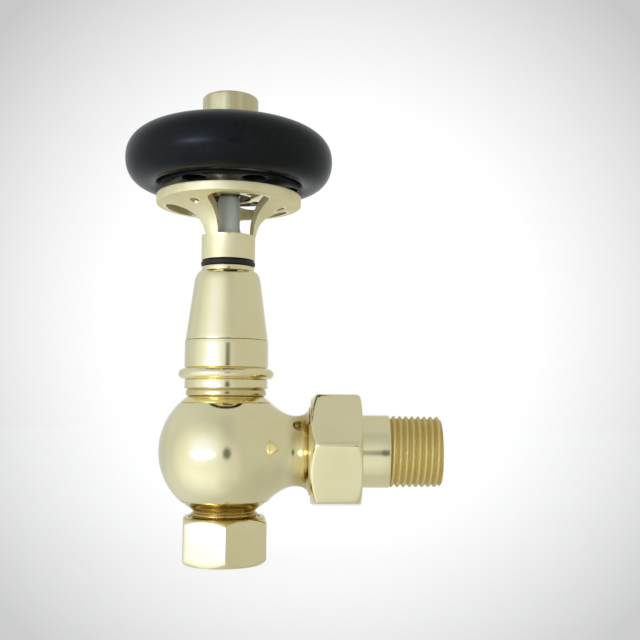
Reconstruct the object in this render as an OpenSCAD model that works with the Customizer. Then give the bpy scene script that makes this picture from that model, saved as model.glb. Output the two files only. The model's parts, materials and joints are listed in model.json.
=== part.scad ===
// Angled radiator valve with a thermostatic handwheel.
// Z runs up the valve's stem and X along the radiator tail.
// The origin is the middle of the pipe inlet, on the bottom face of the pipe nut.

/* [Pipe inlet] */
// Outside diameter of the copper pipe
pipe_d = 15; // [14:0.5:16]
// Radial gap round the pipe
pipe_gap = 0.1; // [0.05:0.05:0.2]
// Width across the pipe nut's flats
pipe_nut_af = 24; // [23.5:0.5:27]
// Height of the pipe nut
pipe_nut_h = 13.5; // [13:0.5:15]
// Turn of the pipe nut's corners about its axis
pipe_nut_turn = -21.5; // [-30:0.5:30]
// Diameter of the inlet's screw thread
inlet_thread_d = 20.95; // [20.5:0.05:21.5]
// How far the pipe goes into the valve
pipe_depth = 17; // [16.5:0.5:18]

/* [Ball body] */
// Height of the ball's middle and of the side branch
ball_z = 32.5; // [32:0.5:34]
// Diameter of the ball
ball_d = 39.1; // [38:0.1:40]
// Diameter of the hollow inside the ball
chamber_d = 30; // [28:0.5:31]
// Smallest diameter of the neck above the pipe nut
neck_d = 18.2; // [17.8:0.1:19]
// Diameter of the hole through the seat
seat_bore_d = 11; // [9:0.5:12]
// Height of the seat's lip
seat_z = 27; // [26:0.5:28]

/* [Side branch] */
// Smallest diameter of the branch
branch_waist_d = 20.7; // [20:0.1:22]
// Place of that waist along the branch
branch_waist_x = 20.9; // [20.5:0.1:21.5]
// Bore of the waterway
waterway_d = 14; // [12:0.5:15]
// Where the union nut starts
union_x = 25.2; // [24.8:0.1:26]
// Length of the union nut
union_nut_l = 15; // [14.5:0.1:16]
// Width across the union nut's flats
union_nut_af = 31.4; // [31:0.1:33]
// Turn of the union nut's corners about the branch
union_nut_turn = 22; // [0:1:59]
// Wall of the union nut over its screw thread
union_wall = 2.5; // [2.3:0.1:2.8]
// Diameter of the tail's plain collar
tail_collar_d = 21.3; // [21:0.1:22]
// Length of the plain collar outside the nut
tail_collar_l = 8.2; // [7:0.1:10]
// Diameter of the tail's screw thread
tail_thread_d = 20.9; // [20.7:0.05:21.1]
// Length of the tail's screw thread
tail_thread_l = 15; // [12:0.5:18]
// Distance from one thread crest to the next
tail_pitch = 1.814; // [1.2:0.001:2.4]
// Width across the hexagon inside the tail's end
tail_key_af = 12.7; // [12:0.1:13]

/* [Bonnet and skirt] */
// Where the bonnet's first ring starts
bonnet_z = 48.7; // [48.5:0.1:49]
// Diameter of the bonnet's first ring
bonnet_ring_d = 23.7; // [23:0.1:24.5]
// Height of the first ring
bonnet_ring_h = 1.9; // [1.5:0.1:2.5]
// Diameter of the bonnet's bands
bonnet_band_d = 24.7; // [24:0.1:25.5]
// Height of the band under the bead
bonnet_low_h = 2.8; // [2:0.1:3.5]
// Diameter of the bead
bead_d = 28.4; // [27.5:0.1:29]
// Height of the bead
bead_h = 3.2; // [2.8:0.1:3.6]
// Height of the band over the bead
bonnet_top_h = 8.3; // [7.5:0.1:9]
// Height of the skirt
skirt_h = 20.7; // [20:0.1:22]
// Diameter of the skirt's foot
skirt_foot_d = 24.5; // [24:0.1:25]
// Diameter of the skirt under its shoulder
skirt_shoulder_d = 20; // [19.5:0.1:20.5]
// Diameter of the skirt's top edge
skirt_top_d = 17.2; // [16.8:0.1:17.6]
// Height of the skirt's rounded shoulder
skirt_shoulder_h = 3.5; // [3:0.1:4]
// Diameter of the collar over the skirt
collar_d = 15.9; // [15.5:0.1:16.4]
// Height of the collar
collar_h = 1.45; // [1.2:0.05:1.8]
// Diameter of the black ring
neck_ring_d = 16.2; // [15.8:0.1:16.6]
// Height of the black ring
neck_ring_h = 1.95; // [1.5:0.05:2.2]

/* [Yoke] */
// Diameter of the yoke's neck
yoke_neck_d = 16.06; // [15.8:0.02:16.4]
// Diameter across the arms at their feet
arm_d = 16.7; // [16.4:0.1:17.2]
// Bore inside the arms
yoke_bore_d = 13.2; // [13:0.1:13.4]
// Height of the windows' sill over the neck's foot
sill_h = 7.4; // [7:0.1:8]
// Height of the arms' feet, where the flare starts, over the neck's foot
waist_h = 8.7; // [8.2:0.1:9.5]
// Diameter of the flange
flange_d = 43.6; // [43:0.1:45]
// Height of the flange's top over the neck's foot
flange_top_h = 19.7; // [19:0.1:20.5]
// Thickness of the flange's rim
rim_t = 2.75; // [2.4:0.05:3]
// Diameter that the windows reach in the flange
window_d = 38; // [37:0.1:39]
// Angle from a window's middle to its radial wall
window_side = 43; // [40:1:45]
// Distance of its other, straight wall from the axis
window_flat = 5; // [4.5:0.1:5.5]
// Radius of a window's outer corners
window_corner = 3.5; // [2.5:0.1:4.5]
// Turn of the first arm from the tail's side
arm_turn = -4; // [-30:1:30]
// Diameter of the small holes over the arms
arm_hole_d = 2.7; // [2:0.1:3]
// Diameter of the circle of the small holes
arm_hole_pcd = 31; // [30:0.1:33]

/* [Handwheel] */
// Diameter of the wheel
wheel_d = 62.4; // [60:0.2:66]
// Height of the wheel
wheel_h = 19.8; // [19:0.1:21]
// Gap between the yoke's flange and the underside of the wheel's rim
wheel_gap = 0.7; // [0.5:0.1:1.2]
// Radius of the circle through the fullest part of the rim
crest_r = 16.2; // [15:0.1:18]
// Fullness of the rim's section, 2 for an ellipse
rim_power = 2.35; // [2:0.05:2.8]
// Depth of the dish between the rim and the cap
dish_depth = 1.4; // [0.8:0.1:2]
// Diameter of the cap
cap_d = 16.9; // [16:0.1:18]
// Height of the cap over the wheel's dish
cap_h = 11.6; // [9:0.1:12]
// Diameter of the vented plate
plate_d = 42.6; // [42:0.1:43]
// Thickness of the vented plate
plate_t = 1.6; // [1.4:0.1:2]
// Diameter of a vent hole
vent_d = 7; // [5:0.5:7.5]
// Diameter of the circle of vents
vent_pcd = 34.4; // [33:0.1:35]

/* [Setting] */
// Rise of the setting thread in one turn
setting_lead = 2.9; // [2:0.1:3]
// Half the angle that the stop lug takes
lug_half = 18; // [12:1:18]
// Diameter of the carrier's setting thread
setting_thread_d = 22.8; // [22:0.1:23.4]
// Diameter of the thermostatic element
capsule_d = 19; // [16:0.5:20]

/* [Stem] */
// Diameter of the grey push rod
rod_d = 6.6; // [6:0.1:6.8]
// Diameter of the push rod's foot
rod_foot_d = 9.6; // [9:0.1:10]
// Width across the flats of the push rod's guide
rod_guide_af = 5.6; // [5:0.1:6]
// Diameter of the steel pin
pin_d = 3; // [2.5:0.1:3.5]
// Lift of the disc off its seat
disc_lift = 3.5; // [3.4:0.1:3.8]
// Diameter of the rubber disc
disc_d = 16; // [14.5:0.5:17]

/* [Return spring] */
// Mean diameter of the return spring
spring_d = 8; // [7.5:0.1:8.5]
// Thickness of the spring's wire
spring_wire = 0.9; // [0.7:0.1:1]
// Number of free turns
spring_turns = 5; // [4:1:6]

/* [Hidden] */
$fn = 72;

brass = [0.80, 0.77, 0.60];
satin_brass = [0.78, 0.72, 0.50];
steel = [0.62, 0.64, 0.66];
grey = [0.55, 0.58, 0.58];
black = [0.12, 0.13, 0.13];
rubber = [0.16, 0.15, 0.12];

// Clearances
run_gap = 0.08;     // a turning or sliding round fit, on the radius
fit_gap = 0.05;     // pieces that stay together
face_gap = 0.05;    // faces that meet without pressing
over = 1;           // cuts run this far past the metal
thin = 0.4;         // depth of a fine turned line
lap = 0.5;          // two solids of one piece run this far into each other

// Inlet
pipe_r = pipe_d / 2 + pipe_gap;
inlet_r = inlet_thread_d / 2;
boss_z = 4.6;               // lower end of the inlet's thread
nut_lip_t = 1.8;            // thickness of the pipe nut's closed end
nut_edge = 1.5;             // height of the turned chamfer on the nuts' corners
olive_t = 1.3;              // greatest thickness of the olive
relief_h = 1.1;             // turned relief over the inlet's thread
neck_bead_h = 1.3;          // rounded bead on top of the relief
neck_bead_r = neck_d / 2 + 0.65;
cone_foot_r = neck_d / 2 + 0.65;
cone_z = pipe_nut_h + 2.1;  // lower edge of the cone under the ball
cone_h = 2.6;

// Ball
ball_r = ball_d / 2;
seat_lip_r = seat_bore_d / 2 + 2.2;
chamber_floor_z = seat_z - 3;
bonnet_thread_r = 11;
bonnet_foot_z = 38.5;       // lower end of the bonnet's thread

// Side branch
branch_thread_r = union_nut_af / 2 - union_wall;
branch_thread_l = 8.6;
branch_end_x = union_x + branch_thread_l;
branch_collar_r = branch_thread_r - 0.2;
seal_t = 1;
tail_flange_x = branch_end_x + seal_t;
union_lip_t = 3;
tail_flange_t = union_x + union_nut_l - union_lip_t - tail_flange_x;
tail_flange_r = branch_thread_r - 0.9;
tail_collar_x = union_x + union_nut_l;
tail_thread_x = tail_collar_x + tail_collar_l;
tail_end_x = tail_thread_x + tail_thread_l;
tail_key_l = 9;

// Bonnet
bonnet_low_z = bonnet_z + bonnet_ring_h;
bead_z = bonnet_low_z + bonnet_low_h;
bonnet_top_z = bead_z + bead_h;
skirt_z = bonnet_top_z + bonnet_top_h;
bonnet_spigot_r = skirt_shoulder_d / 2 - 0.4;
bonnet_spigot_h = 3.2;
adapter_r = 6.9;            // the adapter's shank in the bonnet and skirt
ledge_z = 40.5;             // ledge in the bonnet that the cartridge stands on
ledge_r = 5.9;

// Skirt, adapter and black ring
skirt_top_z = skirt_z + skirt_h;
collar_top_z = skirt_top_z + collar_h;
neck_foot_z = collar_top_z + neck_ring_h;
spigot_r = 5.5;             // the yoke's threaded spigot
spigot_l = 11;
spigot_z = neck_foot_z - spigot_l;
shank_l = 7.5;
adapter_z = skirt_z - shank_l;  // lower end of the adapter
adapter_bore_r = 4.2;

// Yoke
sill_z = neck_foot_z + sill_h;
waist_z = neck_foot_z + waist_h;
flange_z = neck_foot_z + flange_top_h;
arm_r = arm_d / 2;
yoke_bore_r = yoke_bore_d / 2;
flange_r = flange_d / 2;
floor_t = 5.2;              // floor in the neck that guides the push rod
floor_top_z = sill_z - 5.1;
first_window = arm_turn + 60;
bearing_r = yoke_bore_r + 1.6;  // ring on the flange that the wheel turns in

// Handwheel
wheel_z = flange_z + wheel_gap + wheel_h / 2;
wheel_r = wheel_d / 2;
dish_z = wheel_z + wheel_h / 2 - dish_depth;
plate_z = flange_z + 2.2;
plate_r = plate_d / 2;
bush_r = yoke_bore_r - run_gap;
bush_z = flange_z + 0.1;    // lower end of the plate's bush
ring_z = flange_z + 0.9;    // snap ring's lower face
ring_t = 0.8;
ring_in_r = bush_r - 0.55;
ring_out_r = yoke_bore_r + 0.4;
cavity_r = 13;
dish_wall = 2.6;
cavity_z = dish_z - dish_wall;  // roof of the hollow in the wheel
cap_spigot_r = 6;
cap_spigot_h = 2.4;

// Turn stop
stop_pin_r = arm_hole_d / 2 - fit_gap;
stop_r = arm_hole_pcd / 2;
stop_play = 3;              // degrees left free at each end of the turn
pin_half = asin(arm_hole_d / 2 / stop_r);
wheel_turn = 360 - 2 * (lug_half + pin_half + stop_play);
pin_turn = arm_turn + 120;
lug_turn = pin_turn - lug_half - pin_half - stop_play;
lug_t = 1.3;
lug_w = 3.2;

// Carrier and thermostatic element
setting_travel = setting_lead * wheel_turn / 360;
thread_r = setting_thread_d / 2;
hub_z = plate_z + plate_t + 0.9;
hub_h = 5;
nose_r = rod_d / 2;
nose_z = flange_z - 0.1;    // lower end of the carrier's nose
nose_hex_af = 4.6;
drop_gap = 0.3;             // left under the carrier at the end of its travel
roof_gap = 0.3;             // left over the carrier at rest
carrier_z = plate_z + plate_t + setting_travel + drop_gap;
carrier_h = cavity_z - roof_gap - carrier_z;
carrier_wall = 0.9;
carrier_floor = 1.2;
capsule_r = capsule_d / 2;
capsule_z = carrier_z + carrier_floor;
retainer_t = 1;
retainer_z = carrier_z + carrier_h - retainer_t;
retainer_bore_r = 5;
overtravel_room = 2.4;      // height of the overtravel spring's room
capsule_h = retainer_z - overtravel_room - capsule_z;
capsule_roof = 0.5;         // left over the ram's bore in the element
ram_r = 1.6;

// Stem, from the top down
tip_af = nose_hex_af - 2 * fit_gap;
rod_top_z = flange_z - 0.4;      // shoulder under the hexagonal tip
rod_tip_z = capsule_z - 0.6;     // top of the tip, where the ram pushes
rod_foot_z = floor_top_z + disc_lift + 0.3;
rod_foot_h = 2.1;
rod_end_z = spigot_z - 6;
disc_z = seat_z + disc_lift;
disc_t = 2.2;
holder_z = disc_z + disc_t;
holder_h = 4;
holder_floor = 1;                // metal under the pin's end
rivet_r = 2;                     // rivet that holds the disc
pin_r = pin_d / 2;

// Cartridge
insert_r = adapter_r;
insert_z = ledge_z;
insert_floor_t = 1.6;
groove_z = insert_z + 3;        // middle of the groove for the cartridge's ring
groove_h = 2;
groove_depth = 1.5;
insert_top_z = adapter_z - face_gap;
spring_room_r = spring_d / 2 + spring_wire / 2 + 0.3;
spring_foot_z = insert_z + insert_floor_t;
spring_l = 8.2;
spring_top_z = spring_foot_z + spring_l;
collar_t = 1;
gland_t = 4.2;
gland_z = insert_top_z - gland_t;
gland_r = spring_room_r + 0.4;
gland_ring_z = gland_z + 1.2;   // groove of the ring that seals the pin
gland_ring_h = 1.6;
gland_ring_w = 1.1;

// Width across flats to radius over corners
function hex_r(af) = af / 2 / cos(30);
// Points on an arc in the drawing plane
function arc(cx, cy, r, a0, a1, n = 8) =
    [for (i = [0:n]) let (a = a0 + (a1 - a0) * i / n) [cx + r * cos(a), cy + r * sin(a)]];
// Points on a curve from p to q that leaves p towards c and reaches q from c
function bend(p, c, q, n = 8) =
    [for (i = [0:n]) let (t = i / n) (1 - t) * (1 - t) * p + 2 * t * (1 - t) * c + t * t * q];
// Radius of the ball at a height
function ball_at(z) = sqrt(ball_r * ball_r - (z - ball_z) * (z - ball_z));
// Quarter of the wheel's rim section, out from the crest
function rim_pt(a) = [crest_r + (wheel_r - crest_r) * pow(abs(cos(a)), 2 / rim_power),
    wheel_z + sign(sin(a)) * wheel_h / 2 * pow(abs(sin(a)), 2 / rim_power)];

// A turned piece from its outline
module turned(points) rotate_extrude() polygon(points);

// A plain round bar between two heights
module bar(r, z0, z1) translate([0, 0, z0]) cylinder(r = r, h = z1 - z0);

// A ring of rubber with rounded edges
module soft_ring(r_in, r_out, z0, h, e)
    turned(concat([[r_in, z0], [r_out - e, z0]], arc(r_out - e, z0 + e, e, -90, 0, 4),
        arc(r_out - e, z0 + h - e, e, 0, 90, 4), [[r_in, z0 + h]]));

// Hexagon bar whose corners are turned off to a cone at both ends, on Z from 0 to h
module hex_bar(af, h, edge_low, edge_top) {
    corner = hex_r(af);
    flat = af / 2 - 0.3;
    intersection() {
        cylinder(r = corner, h = h, $fn = 6);
        turned([[0, 0], [flat, 0], [corner + 0.01, edge_low], [corner + 0.01, h - edge_top],
            [flat, h], [0, h]]);
    }
}

// Places a piece that was drawn on Z along the side branch
module on_branch() translate([0, 0, ball_z]) rotate([0, 90, 0]) children();

module valve_body() {
    waist_r = branch_waist_d / 2;
    top_r = bonnet_ring_d / 2;
    top_line_z = bonnet_z - 2.2;
    color(brass) difference() {
        union() {
            // Inlet thread, relief, bead and neck
            turned(concat([[0, boss_z], [inlet_r - 1, boss_z], [inlet_r, boss_z + 1],
                [inlet_r, pipe_nut_h - relief_h], [neck_d / 2, pipe_nut_h - relief_h + 0.3]],
                arc(neck_bead_r - neck_bead_h / 2, pipe_nut_h + neck_bead_h / 2, neck_bead_h / 2,
                    -60, 60, 6),
                [[neck_d / 2, cone_z - 0.7], [cone_foot_r, cone_z],
                [ball_at(cone_z + cone_h), cone_z + cone_h], [0, cone_z + cone_h + 2]]));
            // Ball between its two turned lines
            rotate_extrude() difference() {
                translate([0, ball_z]) circle(r = ball_r, $fn = 144);
                translate([-ball_r - over, 0]) square([ball_r + over, 2 * ball_z]);
                translate([0, -over]) square([ball_r, cone_z + cone_h + over]);
                translate([0, bonnet_z - thin]) square([ball_r, ball_r]);
                translate([ball_at(top_line_z), top_line_z]) circle(r = thin / 2, $fn = 16);
                translate([ball_at(cone_z + cone_h), cone_z + cone_h]) circle(r = thin / 2, $fn = 16);
            }
            // Branch: a waist that flares into the ball and into the collar behind the nut
            on_branch() turned(concat([[0, 0], [ball_r * 0.72, 0]],
                bend([ball_r * 0.72, ball_r * 0.72], [waist_r, ball_r * 0.9], [waist_r, branch_waist_x], 8),
                bend([waist_r, branch_waist_x], [waist_r, union_x - 0.9],
                    [branch_collar_r, union_x - 0.5], 6),
                [[branch_collar_r, union_x + 0.8], [branch_thread_r, union_x + 1.2],
                [branch_thread_r, branch_end_x - 0.7], [branch_thread_r - 0.7, branch_end_x],
                [0, branch_end_x]]));
        }
        // Pipe socket with the olive's cone at its mouth
        bar(pipe_r, 0, pipe_depth);
        translate([0, 0, boss_z - 0.01]) cylinder(r1 = pipe_r + olive_t, r2 = pipe_r, h = 2);
        bar(seat_bore_d / 2, 0, seat_z + over);
        // Hollow of the ball round the raised seat
        difference() {
            intersection() {
                translate([0, 0, ball_z]) sphere(d = chamber_d);
                bar(ball_r, chamber_floor_z, bonnet_foot_z - 0.6);
            }
            bar(seat_lip_r, 0, seat_z);
        }
        // Thread for the bonnet and waterway of the branch
        bar(bonnet_thread_r + fit_gap, bonnet_foot_z - 1, bonnet_z + over);
        on_branch() cylinder(d = waterway_d, h = branch_end_x + over);
    }
}

module compression_nut() {
    color(brass) difference() {
        rotate([0, 0, pipe_nut_turn]) hex_bar(pipe_nut_af, pipe_nut_h, nut_edge, nut_edge);
        bar(pipe_r, -over, pipe_nut_h);
        bar(inlet_r + fit_gap, nut_lip_t + olive_t, pipe_nut_h + over);
        translate([0, 0, nut_lip_t])
            cylinder(r1 = pipe_r + 0.5, r2 = inlet_r + fit_gap, h = olive_t + 0.01);
    }
}

module olive() {
    // A barrel with a cone at each end
    low = nut_lip_t + 0.25;
    top = boss_z + 1.2;
    mid = (low + top) / 2;
    color(satin_brass) difference() {
        turned([[0, low], [pipe_r + 0.3, low], [pipe_r + olive_t, mid - 0.6], [pipe_r + olive_t, mid],
            [pipe_r + 0.25, top], [0, top]]);
        bar(pipe_r, 0, boss_z + 2);
    }
}

module union_nut() {
    // The far end has a smooth turned edge instead of corners
    edge = 1.75;
    shoulder_x = union_nut_l - union_lip_t;
    color(brass) translate([union_x, 0, 0]) on_branch() difference() {
        rotate([0, 0, union_nut_turn]) hex_bar(union_nut_af, union_nut_l, nut_edge + 0.3, edge);
        translate([0, 0, -over]) cylinder(r = branch_thread_r + fit_gap, h = shoulder_x + over);
        cylinder(r = tail_collar_d / 2 + fit_gap, h = union_nut_l + over);
        translate([0, 0, -0.01]) cylinder(r1 = branch_thread_r + 0.5, r2 = branch_thread_r, h = 0.6);
    }
}

module tailpiece() {
    thread_r = tail_thread_d / 2;
    collar_r = tail_collar_d / 2;
    edge = 0.45;
    depth = 0.85;               // of the thread
    crest = tail_pitch / 5;     // flat top of a crest
    root = tail_pitch / 8;      // flat bottom of a groove
    grooves = floor((tail_thread_l - edge) / tail_pitch);
    first_x = tail_end_x - edge - crest / 2 - (grooves - 0.5) * tail_pitch;
    color(satin_brass) on_branch() difference() {
        turned(concat([[0, tail_flange_x], [tail_flange_r, tail_flange_x],
            [tail_flange_r, tail_flange_x + tail_flange_t - face_gap],
            [collar_r, tail_flange_x + tail_flange_t - face_gap], [collar_r, tail_thread_x - edge],
            [collar_r - edge, tail_thread_x], [thread_r, tail_thread_x]],
            [for (i = [0:grooves - 1]) let (x = first_x + i * tail_pitch) each
                [[thread_r, x - (tail_pitch - crest) / 2], [thread_r - depth, x - root / 2],
                [thread_r - depth, x + root / 2], [thread_r, x + (tail_pitch - crest) / 2]]],
            [[thread_r, tail_end_x - edge], [thread_r - edge, tail_end_x], [0, tail_end_x]]));
        translate([0, 0, tail_flange_x - over])
            cylinder(d = waterway_d, h = tail_end_x - tail_key_l - tail_flange_x + over);
        rotate([0, 0, 30]) cylinder(r = hex_r(tail_key_af), h = tail_end_x + over, $fn = 6);
    }
}

module union_seal() {
    color(rubber) translate([branch_end_x, 0, 0]) on_branch() difference() {
        cylinder(r = tail_flange_r - 0.4, h = seal_t);
        translate([0, 0, -over]) cylinder(r = waterway_d / 2 + 0.5, h = seal_t + 2 * over);
    }
}

module bonnet() {
    ring_r = bonnet_ring_d / 2;
    band_r = bonnet_band_d / 2;
    bead_r = bead_d / 2;
    half = bead_h / 2;
    bulge = half * 1.15;
    color(brass) difference() {
        turned(concat([[0, bonnet_foot_z], [bonnet_thread_r - 0.6, bonnet_foot_z],
            [bonnet_thread_r, bonnet_foot_z + 0.6], [bonnet_thread_r, bonnet_z],
            [ring_r - 0.3, bonnet_z], [ring_r, bonnet_z + 0.3], [ring_r, bonnet_low_z - 0.5],
            [ring_r - 0.6, bonnet_low_z - 0.15], [band_r - 0.2, bonnet_low_z],
            [band_r, bead_z - 0.2], [band_r - 0.2, bead_z]],
            [for (a = [-78:12:78])
                [bead_r - bulge + bulge * cos(a), bead_z + half + half * sin(a)]],
            [[band_r - 0.2, bonnet_top_z], [band_r + 0.1, bonnet_top_z + 0.4],
            [band_r + 0.1, skirt_z - 0.3], [band_r - 0.2, skirt_z],
            [bonnet_spigot_r, skirt_z], [bonnet_spigot_r, skirt_z + bonnet_spigot_h - 0.5],
            [bonnet_spigot_r - 0.5, skirt_z + bonnet_spigot_h], [0, skirt_z + bonnet_spigot_h]]));
        bar(ledge_r, 0, skirt_top_z);
        bar(adapter_r + fit_gap, ledge_z, skirt_top_z);
    }
}

module insert_body() {
    color(brass) difference() {
        bar(insert_r, insert_z, insert_top_z);
        rotate_extrude() translate([insert_r, groove_z])
            square([2 * groove_depth, groove_h], center = true);
        bar(pin_r + run_gap, insert_z - over, insert_top_z);
        bar(spring_room_r, spring_foot_z, insert_top_z + over);
        bar(gland_r + fit_gap / 2, gland_z, insert_top_z + over);
    }
}

module insert_o_ring() {
    ring_h = groove_h - 4 * fit_gap;
    color(rubber) soft_ring(insert_r - groove_depth + 2 * fit_gap, insert_r + fit_gap / 2,
        groove_z - ring_h / 2, ring_h, ring_h / 3);
}

module gland_nut() {
    key_depth = 1.2;
    color(brass) difference() {
        bar(gland_r - fit_gap / 2, gland_z, insert_top_z);
        bar(pin_r + run_gap, 0, insert_top_z + over);
        bar(pin_r + gland_ring_w, gland_ring_z, gland_ring_z + gland_ring_h);
        // Two key holes
        for (a = [0, 180]) rotate([0, 0, a])
            translate([(pin_r + gland_r) / 2, 0, insert_top_z - key_depth])
                cylinder(r = 0.6, h = key_depth + over, $fn = 24);
    }
}

module gland_o_ring() {
    color(rubber) soft_ring(pin_r + run_gap, pin_r + gland_ring_w - fit_gap, gland_ring_z + fit_gap,
        gland_ring_h - 2 * fit_gap, gland_ring_h / 4);
}

module neck_adapter() {
    hole_r = spigot_r + fit_gap;
    color(brass) difference() {
        turned([[0, adapter_z], [adapter_r - 0.5, adapter_z], [adapter_r, adapter_z + 0.5],
            [adapter_r, skirt_top_z], [collar_d / 2 - 0.2, skirt_top_z],
            [collar_d / 2, skirt_top_z + 0.2], [collar_d / 2, collar_top_z - 0.25],
            [collar_d / 2 - 0.25, collar_top_z], [0, collar_top_z]]);
        bar(adapter_bore_r, adapter_z - over, collar_top_z);
        bar(hole_r, spigot_z - 0.4, collar_top_z + over);
    }
}

module skirt() {
    foot_r = skirt_foot_d / 2;
    shoulder_r = skirt_shoulder_d / 2;
    top_r = skirt_top_d / 2;
    shoulder_z = skirt_top_z - skirt_shoulder_h;
    wall = 2.2;
    color(brass) difference() {
        turned(concat([[0, skirt_z + 0.02], [foot_r - 0.2, skirt_z + 0.02], [foot_r, skirt_z + 0.25]],
            bend([shoulder_r, shoulder_z], [shoulder_r - 0.35, skirt_top_z - 0.9],
                [top_r, skirt_top_z - 0.1], 7),
            [[top_r - 0.15, skirt_top_z], [0, skirt_top_z]]));
        // Hollow inside, with the bonnet's spigot at its foot
        turned([[0, skirt_z - over], [bonnet_spigot_r + fit_gap, skirt_z - over],
            [bonnet_spigot_r + fit_gap, skirt_z + bonnet_spigot_h], [shoulder_r - wall, shoulder_z],
            [0, shoulder_z]]);
        bar(adapter_r + fit_gap, skirt_z, skirt_top_z + over);
    }
}

module neck_o_ring() {
    color(rubber) soft_ring(spigot_r + fit_gap, neck_ring_d / 2, collar_top_z, neck_ring_h, 0.8);
}

// One window's cut, from the sill up through the flange
module window_cut() {
    // Radial wall on one side, nearly parallel wall on the other, round outer wall between them
    out_r = window_d / 2;
    mid_r = out_r - window_corner;
    lean = 5;
    low = window_side - asin(window_corner / mid_r);
    high = lean + asin((window_flat * cos(lean) - window_corner) / mid_r);
    step = 2;
    translate([0, 0, sill_z]) linear_extrude(flange_z - sill_z + over) polygon(concat([[0, 0]],
        arc(mid_r * cos(low), -mid_r * sin(low), window_corner, -window_side - 90, -low, 6),
        arc(0, 0, out_r, step - low, high - step, 10),
        arc(mid_r * cos(high), mid_r * sin(high), window_corner, high, lean + 90, 6),
        [[0, window_flat]]));
}

module trumpet() {
    neck_r = yoke_neck_d / 2;
    rim_edge = 0.35;
    rim_z = flange_z - rim_t;
    // Fullness of the flare under the rim
    flare_out = 0.85;
    flare_drop = 1.3;
    turned(concat([[0, spigot_z], [spigot_r - 0.5, spigot_z], [spigot_r, spigot_z + 0.5],
        [spigot_r, neck_foot_z], [neck_r - 0.2, neck_foot_z], [neck_r, neck_foot_z + 0.2],
        [neck_r, sill_z - 0.8]],
        bend([arm_r, waist_z - 0.6], [arm_r + flare_out, rim_z - flare_drop], [flange_r - 0.3, rim_z], 12),
        arc(flange_r - rim_edge, rim_z + rim_edge, rim_edge, -60, 0, 3),
        arc(flange_r - rim_edge, flange_z - rim_edge, rim_edge, 0, 90, 4), [[0, flange_z]]));
}

module yoke() {
    color(brass) difference() {
        union() {
            difference() {
                trumpet();
                for (k = [0:2]) rotate([0, 0, first_window + 120 * k]) window_cut();
                for (k = [0:2]) rotate([0, 0, arm_turn + 120 * k]) translate([stop_r, 0, sill_z])
                    cylinder(d = arm_hole_d, h = flange_z, $fn = 32);
            }
            // Bearing ring that bridges the windows
            bar(bearing_r, flange_z - lap, plate_z - face_gap);
        }
        bar(yoke_bore_r, floor_top_z, plate_z + over);
        bar(rod_foot_d / 2 - 0.6, spigot_z - over, floor_top_z - floor_t);
        cylinder(r = hex_r(rod_guide_af + 2 * fit_gap), h = flange_z, $fn = 6);
        bar(ring_out_r + fit_gap, ring_z - fit_gap, ring_z + ring_t + fit_gap);
    }
}

module stop_pin() {
    // Fills the rear hole and stands up between the flange and the vented plate
    foot_z = flange_z - rim_t - 0.6;
    top_z = plate_z - 0.3;
    color(steel) rotate([0, 0, pin_turn]) translate([stop_r, 0, foot_z])
        cylinder(r = stop_pin_r, h = top_z - foot_z, $fn = 32);
}

module snap_ring() {
    opening = 24;
    color(black) rotate([0, 0, arm_turn + 60 + opening / 2])
        rotate_extrude(angle = 360 - opening) translate([ring_in_r + fit_gap, ring_z])
            square([ring_out_r - ring_in_r - fit_gap, ring_t]);
}

module push_rod() {
    foot_top_z = rod_foot_z + rod_foot_h;
    shoulder_h = 2.6;
    color(grey) {
        // Round core with a flared foot
        turned(concat([[0, rod_foot_z], [rod_foot_d / 2, rod_foot_z], [rod_foot_d / 2, foot_top_z - 1]],
            bend([rod_foot_d / 2, foot_top_z - 0.4], [rod_d / 2, foot_top_z + 0.3],
                [rod_d / 2, foot_top_z + shoulder_h], 5),
            [[rod_d / 2, rod_top_z - 0.6], [rod_d / 2 - 0.6, rod_top_z], [0, rod_top_z]]));
        // Hexagonal guide below and tip above, which stop the carrier from turning
        translate([0, 0, rod_end_z]) cylinder(r = hex_r(rod_guide_af), h = rod_foot_z - rod_end_z, $fn = 6);
        translate([0, 0, rod_top_z - 0.01]) cylinder(r = hex_r(tip_af), h = rod_tip_z - rod_top_z, $fn = 6);
    }
}

module insert_pin() {
    color(steel) bar(pin_r, holder_z + holder_floor, rod_end_z);
}

module spring_collar() {
    color(brass) difference() {
        bar(spring_room_r - 0.25, spring_top_z, spring_top_z + collar_t);
        bar(pin_r, 0, spring_top_z + collar_t + over);
    }
}

// A coil spring of round wire, its ends closed flat, swept ring by ring
module coil(mean_r, wire, z0, length, turns) {
    sides = 8;
    steps = 18;
    dead = 1;                       // closed turns at each end
    count = (turns + 2 * dead) * steps;
    closed = wire * 1.02;           // rise of a closed turn, just clear of the one under it
    rise = length - wire - 2 * dead * closed;
    function height(i) = let (t = i / steps)
        wire / 2 + closed * (min(t, dead) + max(0, t - dead - turns))
        + rise * min(1, max(0, (t - dead) / turns));
    function place(i) = let (a = 360 * i / steps) [mean_r * cos(a), mean_r * sin(a), z0 + height(i)];
    rings = [for (i = [0:count]) let (a = 360 * i / steps) for (k = [0:sides - 1])
        let (b = 360 * k / sides) place(i) + wire / 2 * [cos(b) * cos(a), cos(b) * sin(a), sin(b)]];
    walls = [for (i = [0:count - 1]) for (k = [0:sides - 1]) let (n = (k + 1) % sides)
        [i * sides + k, (i + 1) * sides + k, (i + 1) * sides + n, i * sides + n]];
    first = [for (k = [0:sides - 1]) k];
    last = [for (k = [sides - 1:-1:0]) count * sides + k];
    polyhedron(rings, concat(walls, [first], [last]));
}

module return_spring() {
    color(steel) coil(spring_d / 2, spring_wire, spring_foot_z + face_gap,
        spring_l - 2 * face_gap, spring_turns);
}

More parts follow.
